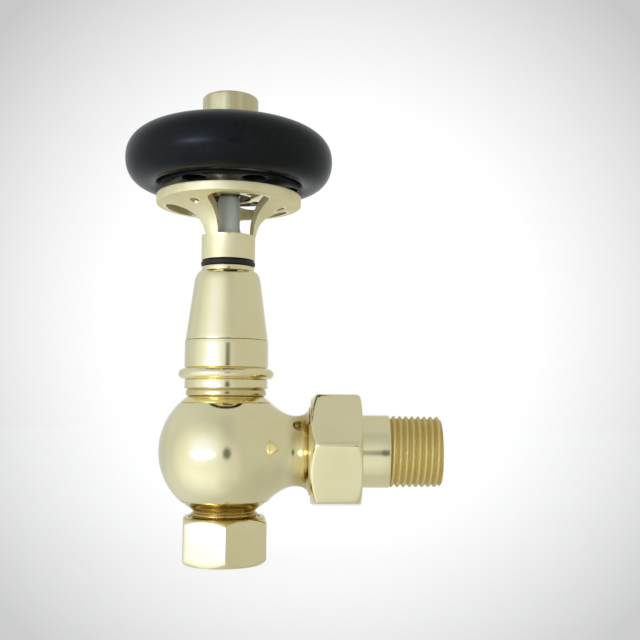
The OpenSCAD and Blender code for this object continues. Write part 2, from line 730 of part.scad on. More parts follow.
module disc_holder() {
    r = disc_d / 2;
    hub_r = pin_r + 1.7;
    top_z = holder_z + holder_h;
    head_t = 0.6;
    color(brass) difference() {
        union() {
            turned([[0, holder_z], [r - 0.5, holder_z], [r, holder_z + 0.4], [r, holder_z + 1.2],
                [hub_r, holder_z + 1.6], [hub_r, top_z], [0, top_z]]);
            bar(rivet_r, disc_z - head_t, holder_z + lap);
            // Rivet head under the disc
            bar(rivet_r + 0.8, disc_z - head_t, disc_z - face_gap);
        }
        bar(pin_r, holder_z + holder_floor, top_z + over);
    }
}

module sealing_disc() {
    color(rubber) difference() {
        bar(disc_d / 2, disc_z, holder_z);
        bar(rivet_r + fit_gap, 0, holder_z + over);
    }
}

module handwheel() {
    plate_top = plate_z + plate_t;
    foot_r = plate_r + fit_gap;
    color(black) difference() {
        turned(concat([[0, wheel_z - wheel_h / 2]],
            [for (a = [-90:7.5:90]) rim_pt(a)],
            bend([crest_r, wheel_z + wheel_h / 2], [crest_r - 3.5, wheel_z + wheel_h / 2],
                [cap_d / 2 + 1.2, dish_z], 6),
            [[0, dish_z]]));
        // Seat of the vented plate, air space over it and hollow for the element
        bar(foot_r, wheel_z - wheel_h, plate_top);
        translate([0, 0, plate_top - 0.01])
            cylinder(r1 = foot_r - 0.6, r2 = cavity_r, h = foot_r - 0.6 - cavity_r);
        bar(cavity_r, plate_z, cavity_z);
        bar(cap_spigot_r, cavity_z - over, dish_z + over);
    }
}

module wheel_base_plate() {
    nose_room_r = nose_r + run_gap;
    lug_z = plate_z - lug_t;
    color(black) difference() {
        union() {
            bar(plate_r, plate_z, plate_z + plate_t);
            // Bush in the yoke's bearing ring
            bar(bush_r, bush_z, plate_z + lap);
            // Lug that meets the stop pin at both ends of the turn
            rotate([0, 0, lug_turn - lug_half]) rotate_extrude(angle = 2 * lug_half)
                translate([stop_r - lug_w / 2, lug_z]) square([lug_w, lug_t + lap]);
        }
        bar(nose_room_r, bush_z - over, plate_z + plate_t + over);
        // Groove for the snap ring
        difference() {
            bar(yoke_bore_r, ring_z - fit_gap, ring_z + ring_t + fit_gap);
            bar(ring_in_r - fit_gap, ring_z - over, ring_z + ring_t + over);
        }
        for (k = [0:5]) rotate([0, 0, lug_turn + 30 + 60 * k]) translate([vent_pcd / 2, 0, lug_z - over])
            cylinder(d = vent_d, h = lug_t + plate_t + 2 * over, $fn = 48);
    }
}

module hub_ring() {
    color(brass) difference() {
        bar(cavity_r - fit_gap, hub_z, hub_z + hub_h);
        bar(thread_r + run_gap, hub_z - over, hub_z + hub_h + over);
    }
}

module wheel_cap() {
    edge = 1;
    r = cap_d / 2;
    top = dish_z + cap_h;
    spigot = cap_spigot_r - fit_gap;
    color(satin_brass) turned(concat([[0, dish_z - cap_spigot_h], [spigot, dish_z - cap_spigot_h],
        [spigot, dish_z], [r - 0.2, dish_z], [r, dish_z + 0.2]],
        arc(r - edge, top - edge, edge, 0, 90, 6), [[0, top]]));
}

module sensor_carrier() {
    inner_r = thread_r - carrier_wall;
    color(satin_brass) difference() {
        union() {
            bar(thread_r, carrier_z, carrier_z + carrier_h);
            bar(nose_r, nose_z, carrier_z + lap);
        }
        bar(inner_r, capsule_z, carrier_z + carrier_h + over);
        translate([0, 0, nose_z - over])
            cylinder(r = hex_r(nose_hex_af), h = capsule_z - nose_z + 2 * over, $fn = 6);
        // Countersink that shows round the rod's tip
        translate([0, 0, nose_z - 0.01]) cylinder(r1 = nose_r - 0.35, r2 = nose_hex_af / 2, h = 0.5);
    }
}

module sensor_capsule() {
    color(grey) difference() {
        turned([[0, capsule_z], [capsule_r - 0.6, capsule_z], [capsule_r, capsule_z + 0.6],
            [capsule_r, capsule_z + capsule_h - 0.6], [capsule_r - 0.6, capsule_z + capsule_h],
            [0, capsule_z + capsule_h]]);
        bar(ram_r + run_gap, capsule_z - over, capsule_z + capsule_h - capsule_roof);
    }
}

module sensor_ram() {
    color(steel) bar(ram_r, rod_tip_z, capsule_z + capsule_h - 2 * capsule_roof);
}

module overtravel_spring() {
    wire = 0.5;
    z0 = capsule_z + capsule_h + face_gap;
    color(steel) coil(capsule_r - 1.6, wire, z0, retainer_z - z0 - face_gap, 1);
}

module spring_retainer() {
    color(brass) difference() {
        bar(thread_r - carrier_wall - fit_gap / 2, retainer_z, retainer_z + retainer_t);
        bar(retainer_bore_r, retainer_z - over, retainer_z + retainer_t + over);
    }
}

valve_body();
compression_nut();
olive();
union_nut();
tailpiece();
union_seal();
bonnet();
insert_body();
insert_o_ring();
gland_nut();
gland_o_ring();
neck_adapter();
skirt();
neck_o_ring();
yoke();
stop_pin();
snap_ring();
push_rod();
insert_pin();
spring_collar();
return_spring();
disc_holder();
sealing_disc();
handwheel();
wheel_base_plate();
hub_ring();
wheel_cap();
sensor_carrier();
sensor_capsule();
sensor_ram();
overtravel_spring();
spring_retainer();
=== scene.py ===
import json
import math

import bpy
from mathutils import Matrix, Vector

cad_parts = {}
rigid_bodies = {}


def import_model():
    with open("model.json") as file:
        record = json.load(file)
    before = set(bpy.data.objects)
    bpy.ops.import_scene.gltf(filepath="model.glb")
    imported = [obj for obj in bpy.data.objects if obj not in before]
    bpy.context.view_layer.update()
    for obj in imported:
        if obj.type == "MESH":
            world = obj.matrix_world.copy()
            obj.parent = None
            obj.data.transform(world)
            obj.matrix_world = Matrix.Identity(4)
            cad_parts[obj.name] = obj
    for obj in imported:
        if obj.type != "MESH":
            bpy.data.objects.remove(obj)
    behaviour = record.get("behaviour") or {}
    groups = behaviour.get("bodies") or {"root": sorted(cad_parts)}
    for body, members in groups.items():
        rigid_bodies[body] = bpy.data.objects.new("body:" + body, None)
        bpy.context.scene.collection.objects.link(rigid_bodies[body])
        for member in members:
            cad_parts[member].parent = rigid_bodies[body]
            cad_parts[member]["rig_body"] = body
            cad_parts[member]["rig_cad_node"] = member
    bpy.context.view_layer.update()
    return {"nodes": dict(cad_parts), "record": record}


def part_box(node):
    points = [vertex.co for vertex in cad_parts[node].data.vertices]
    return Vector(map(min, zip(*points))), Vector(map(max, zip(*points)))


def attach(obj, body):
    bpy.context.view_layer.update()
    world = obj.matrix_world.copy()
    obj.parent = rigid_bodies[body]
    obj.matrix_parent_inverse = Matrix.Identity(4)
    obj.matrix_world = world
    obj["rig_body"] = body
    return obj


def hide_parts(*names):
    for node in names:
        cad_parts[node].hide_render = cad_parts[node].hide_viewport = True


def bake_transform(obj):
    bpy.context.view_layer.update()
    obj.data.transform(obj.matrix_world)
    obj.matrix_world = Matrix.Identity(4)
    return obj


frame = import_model()
mm = 0.001


# Small tools

def clearSelection():
    if bpy.context.object and bpy.context.object.mode != "OBJECT":
        bpy.ops.object.mode_set(mode="OBJECT")
    bpy.ops.object.select_all(action="DESELECT")


def pick(piece):
    clearSelection()
    piece.select_set(True)
    bpy.context.view_layer.objects.active = piece


# Curve from p to q that leaves p towards c
def bend(p, c, q, n=10):
    out = []
    for i in range(n + 1):
        t = i / n
        out.append(tuple((1 - t) ** 2 * a + 2 * t * (1 - t) * b + t * t * d for a, b, d in zip(p, c, q)))
    return out


def arc(cx, cy, r, a0, a1, n=8):
    turns = [math.radians(a0 + (a1 - a0) * i / n) for i in range(n + 1)]
    return [(cx + r * math.cos(a), cy + r * math.sin(a)) for a in turns]


# Line from p to q in n parts, without its last point
def line(p, q, n):
    return [(p[0] + (q[0] - p[0]) * i / n, p[1] + (q[1] - p[1]) * i / n) for i in range(n)]


# Turns an outline of (radius, place along the axis) in mm round Z, or round the branch's axis
def turnOnLathe(name, outline, steps=128, branchZ=None):
    clearSelection()
    bpy.ops.mesh.primitive_circle_add(vertices=len(outline), radius=mm)
    piece = bpy.context.object
    piece.name = piece.data.name = name
    for vertex, (r, along) in zip(piece.data.vertices, outline):
        vertex.co = (r * mm, 0, along * mm) if branchZ is None else (along * mm, 0, (branchZ + r) * mm)
    axis = (0, 0, 1) if branchZ is None else (1, 0, 0)
    centre = (0, 0, 0 if branchZ is None else branchZ * mm)
    bpy.ops.object.mode_set(mode="EDIT")
    bpy.ops.mesh.select_all(action="SELECT")
    bpy.ops.mesh.spin(steps=steps, angle=math.tau, center=centre, axis=axis)
    closeUp(piece)
    return piece


def closeUp(piece, gap=2e-7):
    pick(piece)
    bpy.ops.object.mode_set(mode="EDIT")
    bpy.ops.mesh.select_all(action="SELECT")
    bpy.ops.mesh.remove_doubles(threshold=gap)
    bpy.ops.mesh.delete_loose()
    bpy.ops.mesh.select_all(action="SELECT")
    bpy.ops.mesh.normals_make_consistent(inside=False)
    bpy.ops.object.mode_set(mode="OBJECT")


def smoothOver(piece, angle=32):
    pick(piece)
    bpy.ops.object.shade_smooth_by_angle(angle=math.radians(angle))


def joinPieces(first, *others):
    clearSelection()
    for piece in (first, *others):
        piece.select_set(True)
    bpy.context.view_layer.objects.active = first
    bpy.ops.object.join()
    return first


def applyModifier(piece, kind, **settings):
    pick(piece)
    made = piece.modifiers.new(kind.lower(), kind)
    for key, value in settings.items():
        setattr(made, key, value)
    bpy.ops.object.modifier_apply(modifier=made.name)


# Cuts one piece with another, which goes away
def cutWith(piece, cutter):
    applyModifier(piece, "BOOLEAN", operation="DIFFERENCE", solver="EXACT", object=cutter)
    bpy.data.objects.remove(cutter)


# Prism from a flat outline of (x, y) in mm, between two heights
def pushUp(name, outline, z0, z1):
    clearSelection()
    bpy.ops.mesh.primitive_circle_add(vertices=len(outline), radius=mm, fill_type="NGON")
    piece = bpy.context.object
    piece.name = name
    for vertex, (x, y) in zip(piece.data.vertices, outline):
        vertex.co = (x * mm, y * mm, z0 * mm)
    bpy.ops.object.mode_set(mode="EDIT")
    bpy.ops.mesh.select_all(action="SELECT")
    bpy.ops.mesh.extrude_region_move(TRANSFORM_OT_translate={"value": (0, 0, (z1 - z0) * mm)})
    bpy.ops.mesh.select_all(action="SELECT")
    bpy.ops.mesh.normals_make_consistent(inside=False)
    bpy.ops.object.mode_set(mode="OBJECT")
    return piece


def turnMesh(piece, degrees, axis="Z"):
    piece.data.transform(Matrix.Rotation(math.radians(degrees), 4, axis))
    piece.data.update()


# Presses six flats onto a turned piece, with soft edges between them
def millHexagon(piece, acrossFlats, turn, soft, branchZ=None):
    for vertex in piece.data.vertices:
        if branchZ is None:
            u, v = vertex.co.x / mm, vertex.co.y / mm
        else:
            u, v = -(vertex.co.z / mm - branchZ), vertex.co.y / mm
        r = math.hypot(u, v)
        if r < acrossFlats / 2 - 2:
            continue
        angle = (math.degrees(math.atan2(v, u)) - turn) % 60 - 30
        total = math.exp(-r / soft)
        for other in (-60, 0, 60):
            total += math.exp(-acrossFlats / 2 / math.cos(math.radians(angle - other)) / soft)
        new = -soft * math.log(total)
        u, v = u * new / r, v * new / r
        if branchZ is None:
            vertex.co.x, vertex.co.y = u * mm, v * mm
        else:
            vertex.co.z, vertex.co.y = (branchZ - u) * mm, v * mm
    piece.data.update()


def dress(piece, material, body, nodes=()):
    piece.data.materials.clear()
    piece.data.materials.append(material)
    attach(piece, body)
    if nodes:
        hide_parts(*nodes)


# Shader helpers

class Sock:
    def __init__(self, maker, socket):
        self.maker, self.socket = maker, socket

    def calc(self, operation, *values, clamp=False):
        return self.maker.node("ShaderNodeMath", {"operation": operation, "use_clamp": clamp},
                               {i: v for i, v in enumerate(values)})

    def __add__(self, other): return self.calc("ADD", self, other)
    def __radd__(self, other): return self.calc("ADD", other, self)
    def __sub__(self, other): return self.calc("SUBTRACT", self, other)
    def __rsub__(self, other): return self.calc("SUBTRACT", other, self)
    def __mul__(self, other): return self.calc("MULTIPLY", self, other)
    def __rmul__(self, other): return self.calc("MULTIPLY", other, self)
    def __truediv__(self, other): return self.calc("DIVIDE", self, other)
    def __pow__(self, other): return self.calc("POWER", self, other)
    def clipped(self): return self.calc("ADD", self, 0.0, clamp=True)
    def least(self, other): return self.calc("MINIMUM", self, other)
    def most(self, other): return self.calc("MAXIMUM", self, other)
    def size(self): return self.calc("ABSOLUTE", self)
    def sine(self): return self.calc("SINE", self)

    # 0 below low, 1 over high
    def ramp(self, low, high):
        return self.maker.node("ShaderNodeMapRange", {"interpolation_type": "SMOOTHSTEP"},
                               {"Value": self, "From Min": low, "From Max": high})


class Maker:
    def __init__(self, tree):
        self.tree = tree

    # Any node: its settings first, then the values or links of its sockets
    def node(self, kind, settings=None, sockets=None, out=0):
        made = self.tree.nodes.new(kind)
        for key, value in (settings or {}).items():
            if key == "stops":
                while len(made.color_ramp.elements) < len(value):
                    made.color_ramp.elements.new(0.5)
                for element, (place, colour) in zip(made.color_ramp.elements, value):
                    element.position, element.color = place, (*colour, 1)
            else:
                setattr(made, key, value)
        for key, value in (sockets or {}).items():
            if isinstance(value, Sock):
                self.tree.links.new(value.socket, made.inputs[key])
            else:
                made.inputs[key].default_value = value
        return Sock(self, made.outputs[out])

    def place(self):
        return self.node("ShaderNodeTexCoord", out=3)

    def axes(self, vector):
        made = self.node("ShaderNodeSeparateXYZ", {}, {0: vector})
        outputs = made.socket.node.outputs
        return [Sock(self, outputs[i]) for i in range(3)]

    def moved(self, vector, scale=(1, 1, 1), turn=(0, 0, 0), shift=(0, 0, 0)):
        return self.node("ShaderNodeMapping", {}, {"Vector": vector, "Scale": scale, "Rotation": turn,
                                                   "Location": shift})

    def noise(self, vector, scale, detail=3.0, rough=0.5, warp=0.0):
        return self.node("ShaderNodeTexNoise", {}, {"Vector": vector, "Scale": scale, "Detail": detail,
                                                    "Roughness": rough, "Distortion": warp})

    def mix(self, share, a, b):
        made = self.tree.nodes.new("ShaderNodeMix")
        made.data_type = "RGBA"
        made.clamp_factor = True
        for i, value in ((0, share), (6, a), (7, b)):
            if isinstance(value, Sock):
                self.tree.links.new(value.socket, made.inputs[i])
            else:
                made.inputs[i].default_value = value if i == 0 else (*value, 1)
        return Sock(self, made.outputs[2])

    def bump(self, height, strength, distance):
        return self.node("ShaderNodeBump", {}, {"Height": height, "Strength": strength, "Distance": distance})


# New material: returns it, its maker and its main shader's sockets
def newMaterial(name, **fixed):
    material = bpy.data.materials.new(name)
    material.use_nodes = True
    tree = material.node_tree
    shader = next(n for n in tree.nodes if n.type == "BSDF_PRINCIPLED")
    for key, value in fixed.items():
        shader.inputs[key.replace("_", " ")].default_value = value

    def feed(**links):
        for key, value in links.items():
            socket = shader.inputs[key.replace("_", " ")]
            if isinstance(value, Sock):
                tree.links.new(value.socket, socket)
            else:
                socket.default_value = value
    return material, Maker(tree), feed


# Materials

polishSettings = {
    "light": (0.850, 0.762, 0.462), "deep": (0.820, 0.722, 0.415), "worn": (0.72, 0.61, 0.31),
    "gloss": 0.06, "haze": 0.06, "ringPitch": 0.00022,
    # Golden painted shade and inter-reflection: round the inlet neck, where the branch goes into its nut, and in a band
    # where the bonnet meets the ball
    "paintedNookTone": (0.50, 0.36, 0.10), "neck": (0.0125, 0.0137, 0.0166, 0.0186), "neckX": (0.0120, 0.0150),
    "root": (0.0178, 0.0226, 0.0251, 0.0256), "band": (0.0482, 0.0486, 0.0506, 0.0512),
}


# 1 between the two middle places, 0 outside the outer two
def between(value, places):
    return value.ramp(places[0], places[1]) * (1 - value.ramp(places[2], places[3]))


# Polished brass: mirror bright, with faint polishing rings, haze and thin handling marks
def polishedBrass(name, branch=False):
    s = polishSettings
    material, make, feed = newMaterial(name, Metallic=1.0, IOR=1.45)
    place = make.place()
    x, y, z = make.axes(place)
    cloud = make.noise(place, 55, 3, 0.55)
    film = make.noise(place, 210, 4, 0.6, 0.4)
    hair = make.noise(make.moved(place, (1, 1, 0.05) if branch else (0.05, 0.05, 1)), 5200, 2, 0.5)
    along = x if branch else z
    rings = (along * (math.tau / s["ringPitch"]) + cloud * 6).sine()
    tone = make.mix(cloud.ramp(0.35, 0.7), s["light"], s["deep"])
    tone = make.mix(film.ramp(0.62, 0.85) * 0.22, tone, s["worn"])
    rough = s["gloss"] + film.ramp(0.45, 0.85) * s["haze"] + hair.ramp(0.6, 0.8) * 0.04
    if not branch:
        # Painted shade and inter-reflection: golden colour in the crevices between parts
        paintedShadeMask = between(z, s["neck"]) * (1 - x.ramp(*s["neckX"]))
        paintedShadeMask = paintedShadeMask.most(between(x, s["root"]) * 0.9).most(between(z, s["band"]) * 0.5)
        paintedShadeMask = (paintedShadeMask * (0.72 + cloud * 0.5)).clipped()
        tone = make.mix(paintedShadeMask, tone, s["paintedNookTone"])
        rough = rough + paintedShadeMask * 0.12
    feed(Base_Color=tone, Roughness=rough,
         Normal=make.bump(rings * 0.5 + hair * 1.2 + film * 0.6, 0.05, 0.00002))
    return material


satinSettings = {"light": (0.70, 0.63, 0.38), "deep": (0.52, 0.44, 0.22), "rough": 0.3}


# Satin brass: fine lines brushed up the sides and across the top, and broad vertical bands of painted reflection in its
# colour
def satinBrass():
    s = satinSettings
    material, make, feed = newMaterial("satinBrass", Metallic=1.0)
    place = make.place()
    grain = make.noise(make.moved(place, (1, 1, 0.03)), 6500, 3, 0.6)
    # Painted reflection: broad vertical bands of lighter and darker colour; the fine grain is the brushing
    paintedReflectionBands = make.noise(make.moved(place, (1, 1, 0.05)), 420, 2, 0.5)
    cloud = make.noise(place, 160, 3)
    tone = make.mix(paintedReflectionBands.ramp(0.4, 0.66) * 0.55 + grain.ramp(0.4, 0.7) * 0.25, s["light"], s["deep"])
    feed(Base_Color=tone, Roughness=s["rough"] + cloud * 0.08 + grain.ramp(0.5, 0.8) * 0.1,
         Normal=make.bump(grain, 0.2, 0.00003))
    return material


threadSettings = {"light": (0.78, 0.65, 0.29), "deep": (0.64, 0.50, 0.18), "rough": 0.55}


# Cut brass of the tail's thread: dull, yellow, with painted shade in the roots
def threadBrass(thread):
    s = threadSettings
    material, make, feed = newMaterial("threadBrass", Metallic=1.0)
    place = make.place()
    x, y, z = make.axes(place)
    up = z - thread["branchZ"] * mm
    r = (y * y + up * up) ** 0.5
    # Painted shade: darker colour down in the thread's roots
    root = 1 - r.ramp((thread["r"] - thread["depth"]) * mm, (thread["r"] - 0.15) * mm)
    chatter = make.noise(make.moved(place, (6, 1, 1)), 900, 3, 0.6)
    fine = (x * (math.tau / 0.00042) + chatter * 2).sine()
    tone = make.mix(root * 0.5 + chatter.ramp(0.5, 0.8) * 0.25 + fine.ramp(0.2, 1.0) * 0.3, s["light"], s["deep"])
    feed(Base_Color=tone, Roughness=s["rough"] + chatter * 0.14, Normal=make.bump(chatter, 0.25, 0.00004))
    return material


plainSettings = {"light": (0.70, 0.60, 0.33), "deep": (0.60, 0.49, 0.24), "rough": 0.24}
milledSettings = {"light": (0.93, 0.84, 0.53), "deep": (0.88, 0.77, 0.44), "rough": 0.5}


# Machined brass of the inner pieces
def plainBrass(name, s):
    material, make, feed = newMaterial(name, Metallic=1.0)
    place = make.place()
    x, y, z = make.axes(place)
    cloud = make.noise(place, 120, 3)
    rings = (z * (math.tau / 0.00035) + cloud * 5).sine()
    feed(Base_Color=make.mix(cloud.ramp(0.35, 0.7), s["light"], s["deep"]),
         Roughness=s["rough"] + cloud * 0.08, Normal=make.bump(rings, 0.12, 0.00003))
    return material


wheelSettings = {"black": (0.0010, 0.0014, 0.0015), "worn": (0.0085, 0.0102, 0.0105), "rough": 0.24}


# Black lacquer on the wheel: slight orange peel and thin dust
def blackWheel():
    s = wheelSettings
    material, make, feed = newMaterial("blackWheel", Specular_IOR_Level=0.19, IOR=1.46)
    place = make.place()
    cloud = make.noise(place, 70, 3)
    peel = make.noise(place, 900, 2, 0.45)
    dust = make.noise(place, 2600, 2, 0.7)
    mottle = make.noise(place, 1500, 3, 0.7)
    feed(Base_Color=make.mix(cloud.ramp(0.35, 0.75) * 0.3 + mottle.ramp(0.4, 0.7) * 0.5 + dust.ramp(0.66, 0.8) * 0.4,
                             s["black"], s["worn"]),
         Roughness=s["rough"] + cloud * 0.06 + dust.ramp(0.62, 0.8) * 0.12,
         Normal=make.bump(peel + dust * 0.4, 0.2, 0.00007))
    return material


def blackPlate():
    material, make, feed = newMaterial("blackPlate", Specular_IOR_Level=0.10)
    place = make.place()
    cloud = make.noise(place, 90, 3)
    grain = make.noise(place, 3200, 2, 0.6)
    feed(Base_Color=make.mix(cloud.ramp(0.3, 0.75), (0.006, 0.0065, 0.006), (0.012, 0.0125, 0.0115)),
         Roughness=0.34 + cloud * 0.1, Normal=make.bump(grain, 0.12, 0.00005))
    return material


def sealRubber():
    material, make, feed = newMaterial("sealRubber", Specular_IOR_Level=0.35)
    place = make.place()
    cloud = make.noise(place, 260, 3)
    grain = make.noise(place, 4200, 2, 0.6)
    feed(Base_Color=make.mix(cloud.ramp(0.3, 0.75), (0.010, 0.0085, 0.006), (0.022, 0.019, 0.013)),
         Roughness=0.42 + cloud * 0.14, Normal=make.bump(grain, 0.15, 0.00005))
    return material


# Grey plastic of the push rod, slightly milky, with drawn lines
def greyPlastic():
    material, make, feed = newMaterial("greyPlastic", Specular_IOR_Level=0.4)
    place = make.place()
    cloud = make.noise(make.moved(place, (1, 1, 0.3)), 220, 3)
    lines = make.noise(make.moved(place, (1, 1, 0.04)), 5200, 2, 0.6)
    feed(Base_Color=make.mix(cloud.ramp(0.3, 0.7) * 0.8 + lines.ramp(0.5, 0.8) * 0.15,
                             (0.60, 0.63, 0.57), (0.74, 0.77, 0.70)),
         Roughness=0.40 + cloud * 0.14, Normal=make.bump(lines, 0.06, 0.00003))
    return material


def drawnSteel(name, light, deep, rough):
    material, make, feed = newMaterial(name, Metallic=1.0)
    place = make.place()
    cloud = make.noise(place, 180, 3)
    lines = make.noise(make.moved(place, (1, 1, 0.04)), 3000, 2, 0.6)
    feed(Base_Color=make.mix(cloud.ramp(0.35, 0.7), light, deep), Roughness=rough + cloud * 0.1,
         Normal=make.bump(lines, 0.1, 0.00003))
    return material


# Valve body

bodySettings = {
    "ballR": 19.55, "ballZ": 32.5, "waistR": 10.35, "waistX": 20.9, "nutX": 25.2,
    "threadR": 13.2, "collarR": 13.0, "endX": 33.8, "bore": 7.0,
    "topLineZ": 46.5, "topZ": 48.3, "lowLineZ": 18.2, "lineDepth": 0.32, "lineHalf": 0.13,
    "coneZ": 15.6, "coneR": 9.75, "neckR": 9.1, "beadZ": 13.5, "beadR": 9.75, "pipeR": 7.6,
    "inletR": 10.475, "inletZ": 4.6,
}


def makeValveBody(material):
    s = bodySettings
    r = s["ballR"]

    def ballAt(z):
        return math.sqrt(r * r - (z - s["ballZ"]) ** 2)

    # Ball and branch, turned round the branch's axis
    branch = [(r * math.sin(math.radians(a)), -r * math.cos(math.radians(a))) for a in range(0, 135, 3)]
    branch += bend((r * 0.7071, r * 0.7071), (s["waistR"], r * 0.905), (s["waistR"], s["waistX"]), 14)
    branch += bend((s["waistR"], s["waistX"]), (s["waistR"], s["nutX"] - 0.9),
                   (s["collarR"], s["nutX"] - 0.4), 12)[1:]
    branch += [(s["threadR"], s["nutX"] + 1.2), (s["threadR"], s["endX"] - 0.6), (s["threadR"] - 0.6, s["endX"]),
               (s["bore"], s["endX"]), (s["bore"], 0), (0, 0)]
    ball = turnOnLathe("valveBody", branch, 144, s["ballZ"])
    # The turned lines are where the ball ends at the top and at the bottom
    for height, way in ((s["topLineZ"] - s["lineHalf"], 1), (s["lowLineZ"] + s["lineHalf"], -1)):
        pick(ball)
        bpy.ops.object.mode_set(mode="EDIT")
        bpy.ops.mesh.select_all(action="SELECT")
        bpy.ops.mesh.bisect(plane_co=(0, 0, height * mm), plane_no=(0, 0, way), clear_outer=True)
        bpy.ops.object.mode_set(mode="OBJECT")
    half, deep = s["lineHalf"], s["lineDepth"]
    z = s["topLineZ"]
    crown = [(ballAt(z - half), z - half), (ballAt(z) - deep, z), (ballAt(z + half), z + half)]
    crown += [(ballAt(h), h) for h in (z + 0.5, z + 0.9, z + 1.3, z + 1.6, s["topZ"])]
    crown += [(ballAt(s["topZ"]) - 0.25, s["topZ"] + 0.12), (11.0, s["topZ"] + 0.15), (11.0, z - 2.5), (12.6, z - 2.5)]
    crown = turnOnLathe("crown", crown, 144)
    z = s["lowLineZ"]
    foot = [(ballAt(z + half), z + half), (ballAt(z) - deep, z), (ballAt(z - half), z - half)]
    foot += line((ballAt(z - half), z - half), (s["coneR"] + 0.1, s["coneZ"] + 0.25), 6)[1:]
    foot += bend((s["coneR"] + 0.1, s["coneZ"] + 0.25), (s["coneR"] - 0.05, s["coneZ"] - 0.05),
                 (s["coneR"] - 0.25, s["coneZ"] - 0.05), 4)
    foot += bend((s["neckR"] + 0.1, s["coneZ"] - 0.35), (s["neckR"], s["coneZ"] - 0.5),
                 (s["neckR"], s["coneZ"] - 0.7), 4)
    foot += arc(s["beadR"] - 0.62, s["beadZ"] + 0.62, 0.62, 75, -75, 10)
    foot += [(s["neckR"], s["beadZ"] - 0.8), (s["inletR"], s["beadZ"] - 1.1), (s["inletR"], s["inletZ"] + 1),
             (s["inletR"] - 1, s["inletZ"]), (s["pipeR"] + 1.0, s["inletZ"]), (s["pipeR"], s["inletZ"] + 1.9),
             (s["pipeR"], z + 1), (9.0, z + 1.6)]
    foot = turnOnLathe("foot", foot, 144)
    body = joinPieces(ball, crown, foot)
    smoothOver(body, 34)
    dress(body, material, "valve", ["valve_body"])
    print("valve body made")


# Nuts

pipeNutSettings = {"af": 24.0, "h": 13.5, "turn": -21.5, "edge": 1.5, "flat": 11.72, "bore": 7.6, "threadR": 10.52}


def makePipeNut(material):
    s = pipeNutSettings
    corner = s["af"] / 2 / math.cos(math.radians(30))
    outline = [(s["bore"], 0)] + line((s["bore"] + 0.4, 0), (s["flat"] - 0.3, 0), 3)
    outline += bend((s["flat"] - 0.3, 0), (s["flat"], 0), (s["flat"] + 0.2, 0.14), 4)
    outline += line((s["flat"] + 0.35, 0.3), (corner + 0.2, s["edge"] + 0.2), 12)
    outline += line((corner + 0.2, s["edge"] + 0.2), (corner + 0.2, s["h"] - s["edge"] - 0.2), 10)
    outline += line((corner + 0.2, s["h"] - s["edge"] - 0.2), (s["flat"] + 0.35, s["h"] - 0.3), 12)
    outline += bend((s["flat"] + 0.2, s["h"] - 0.14), (s["flat"], s["h"]), (s["flat"] - 0.3, s["h"]), 4)
    outline += [(s["threadR"] + 0.3, s["h"]), (s["threadR"], s["h"] - 0.3), (s["threadR"], 3.1), (s["bore"] + 0.5, 1.8),
                (s["bore"], 1.8)]
    nut = turnOnLathe("pipeNut", outline, 288)
    millHexagon(nut, s["af"], s["turn"], 0.22)
    smoothOver(nut, 40)
    dress(nut, material, "valve", ["compression_nut"])


unionNutSettings = {"af": 31.4, "x": 25.2, "length": 15.0, "turn": 22, "nearEdge": 2.0, "farEdge": 2.3, "flat": 15.3,
                    "bore": 10.7, "threadR": 13.25, "branchZ": 32.5}


def makeUnionNut(material):
    s = unionNutSettings
    corner = s["af"] / 2 / math.cos(math.radians(30))
    x0, x1 = s["x"], s["x"] + s["length"]
    outline = [(s["threadR"] + 0.4, x0)]
    outline += bend((s["flat"] - 0.35, x0), (s["flat"], x0), (s["flat"] + 0.2, x0 + 0.2), 4)
    outline += line((s["flat"] + 0.3, x0 + 0.33), (corner + 0.25, x0 + s["nearEdge"]), 12)
    outline += line((corner + 0.25, x0 + s["nearEdge"]), (corner - 0.1, x1 - s["farEdge"]), 10)
    # The far end has a full round edge
    outline += bend((corner - 0.1, x1 - s["farEdge"]), (corner - 0.1, x1 - 0.25), (s["af"] / 2 - 1.1, x1), 14)
    outline += [(s["bore"] + 0.35, x1), (s["bore"], x1 - 0.3), (s["bore"], x1 - 2.9), (s["threadR"], x1 - 3.1),
                (s["threadR"], x0 + 0.4)]
    nut = turnOnLathe("unionNut", outline, 288, s["branchZ"])
    millHexagon(nut, s["af"], s["turn"], 0.26, s["branchZ"])
    smoothOver(nut, 40)
    dress(nut, material, "valve", ["union_nut"])
    print("nuts made")


# Threaded tail

tailSettings = {
    "branchZ": 32.5, "flangeX": 34.8, "flangeEndX": 37.15, "flangeR": 12.3, "collarR": 10.65, "collarEndX": 48.4,
    "endX": 63.4, "r": 10.45, "depth": 0.92, "pitch": 1.814, "taper": 0.17, "bore": 7.0, "keyAf": 12.7, "keyL": 9,
}


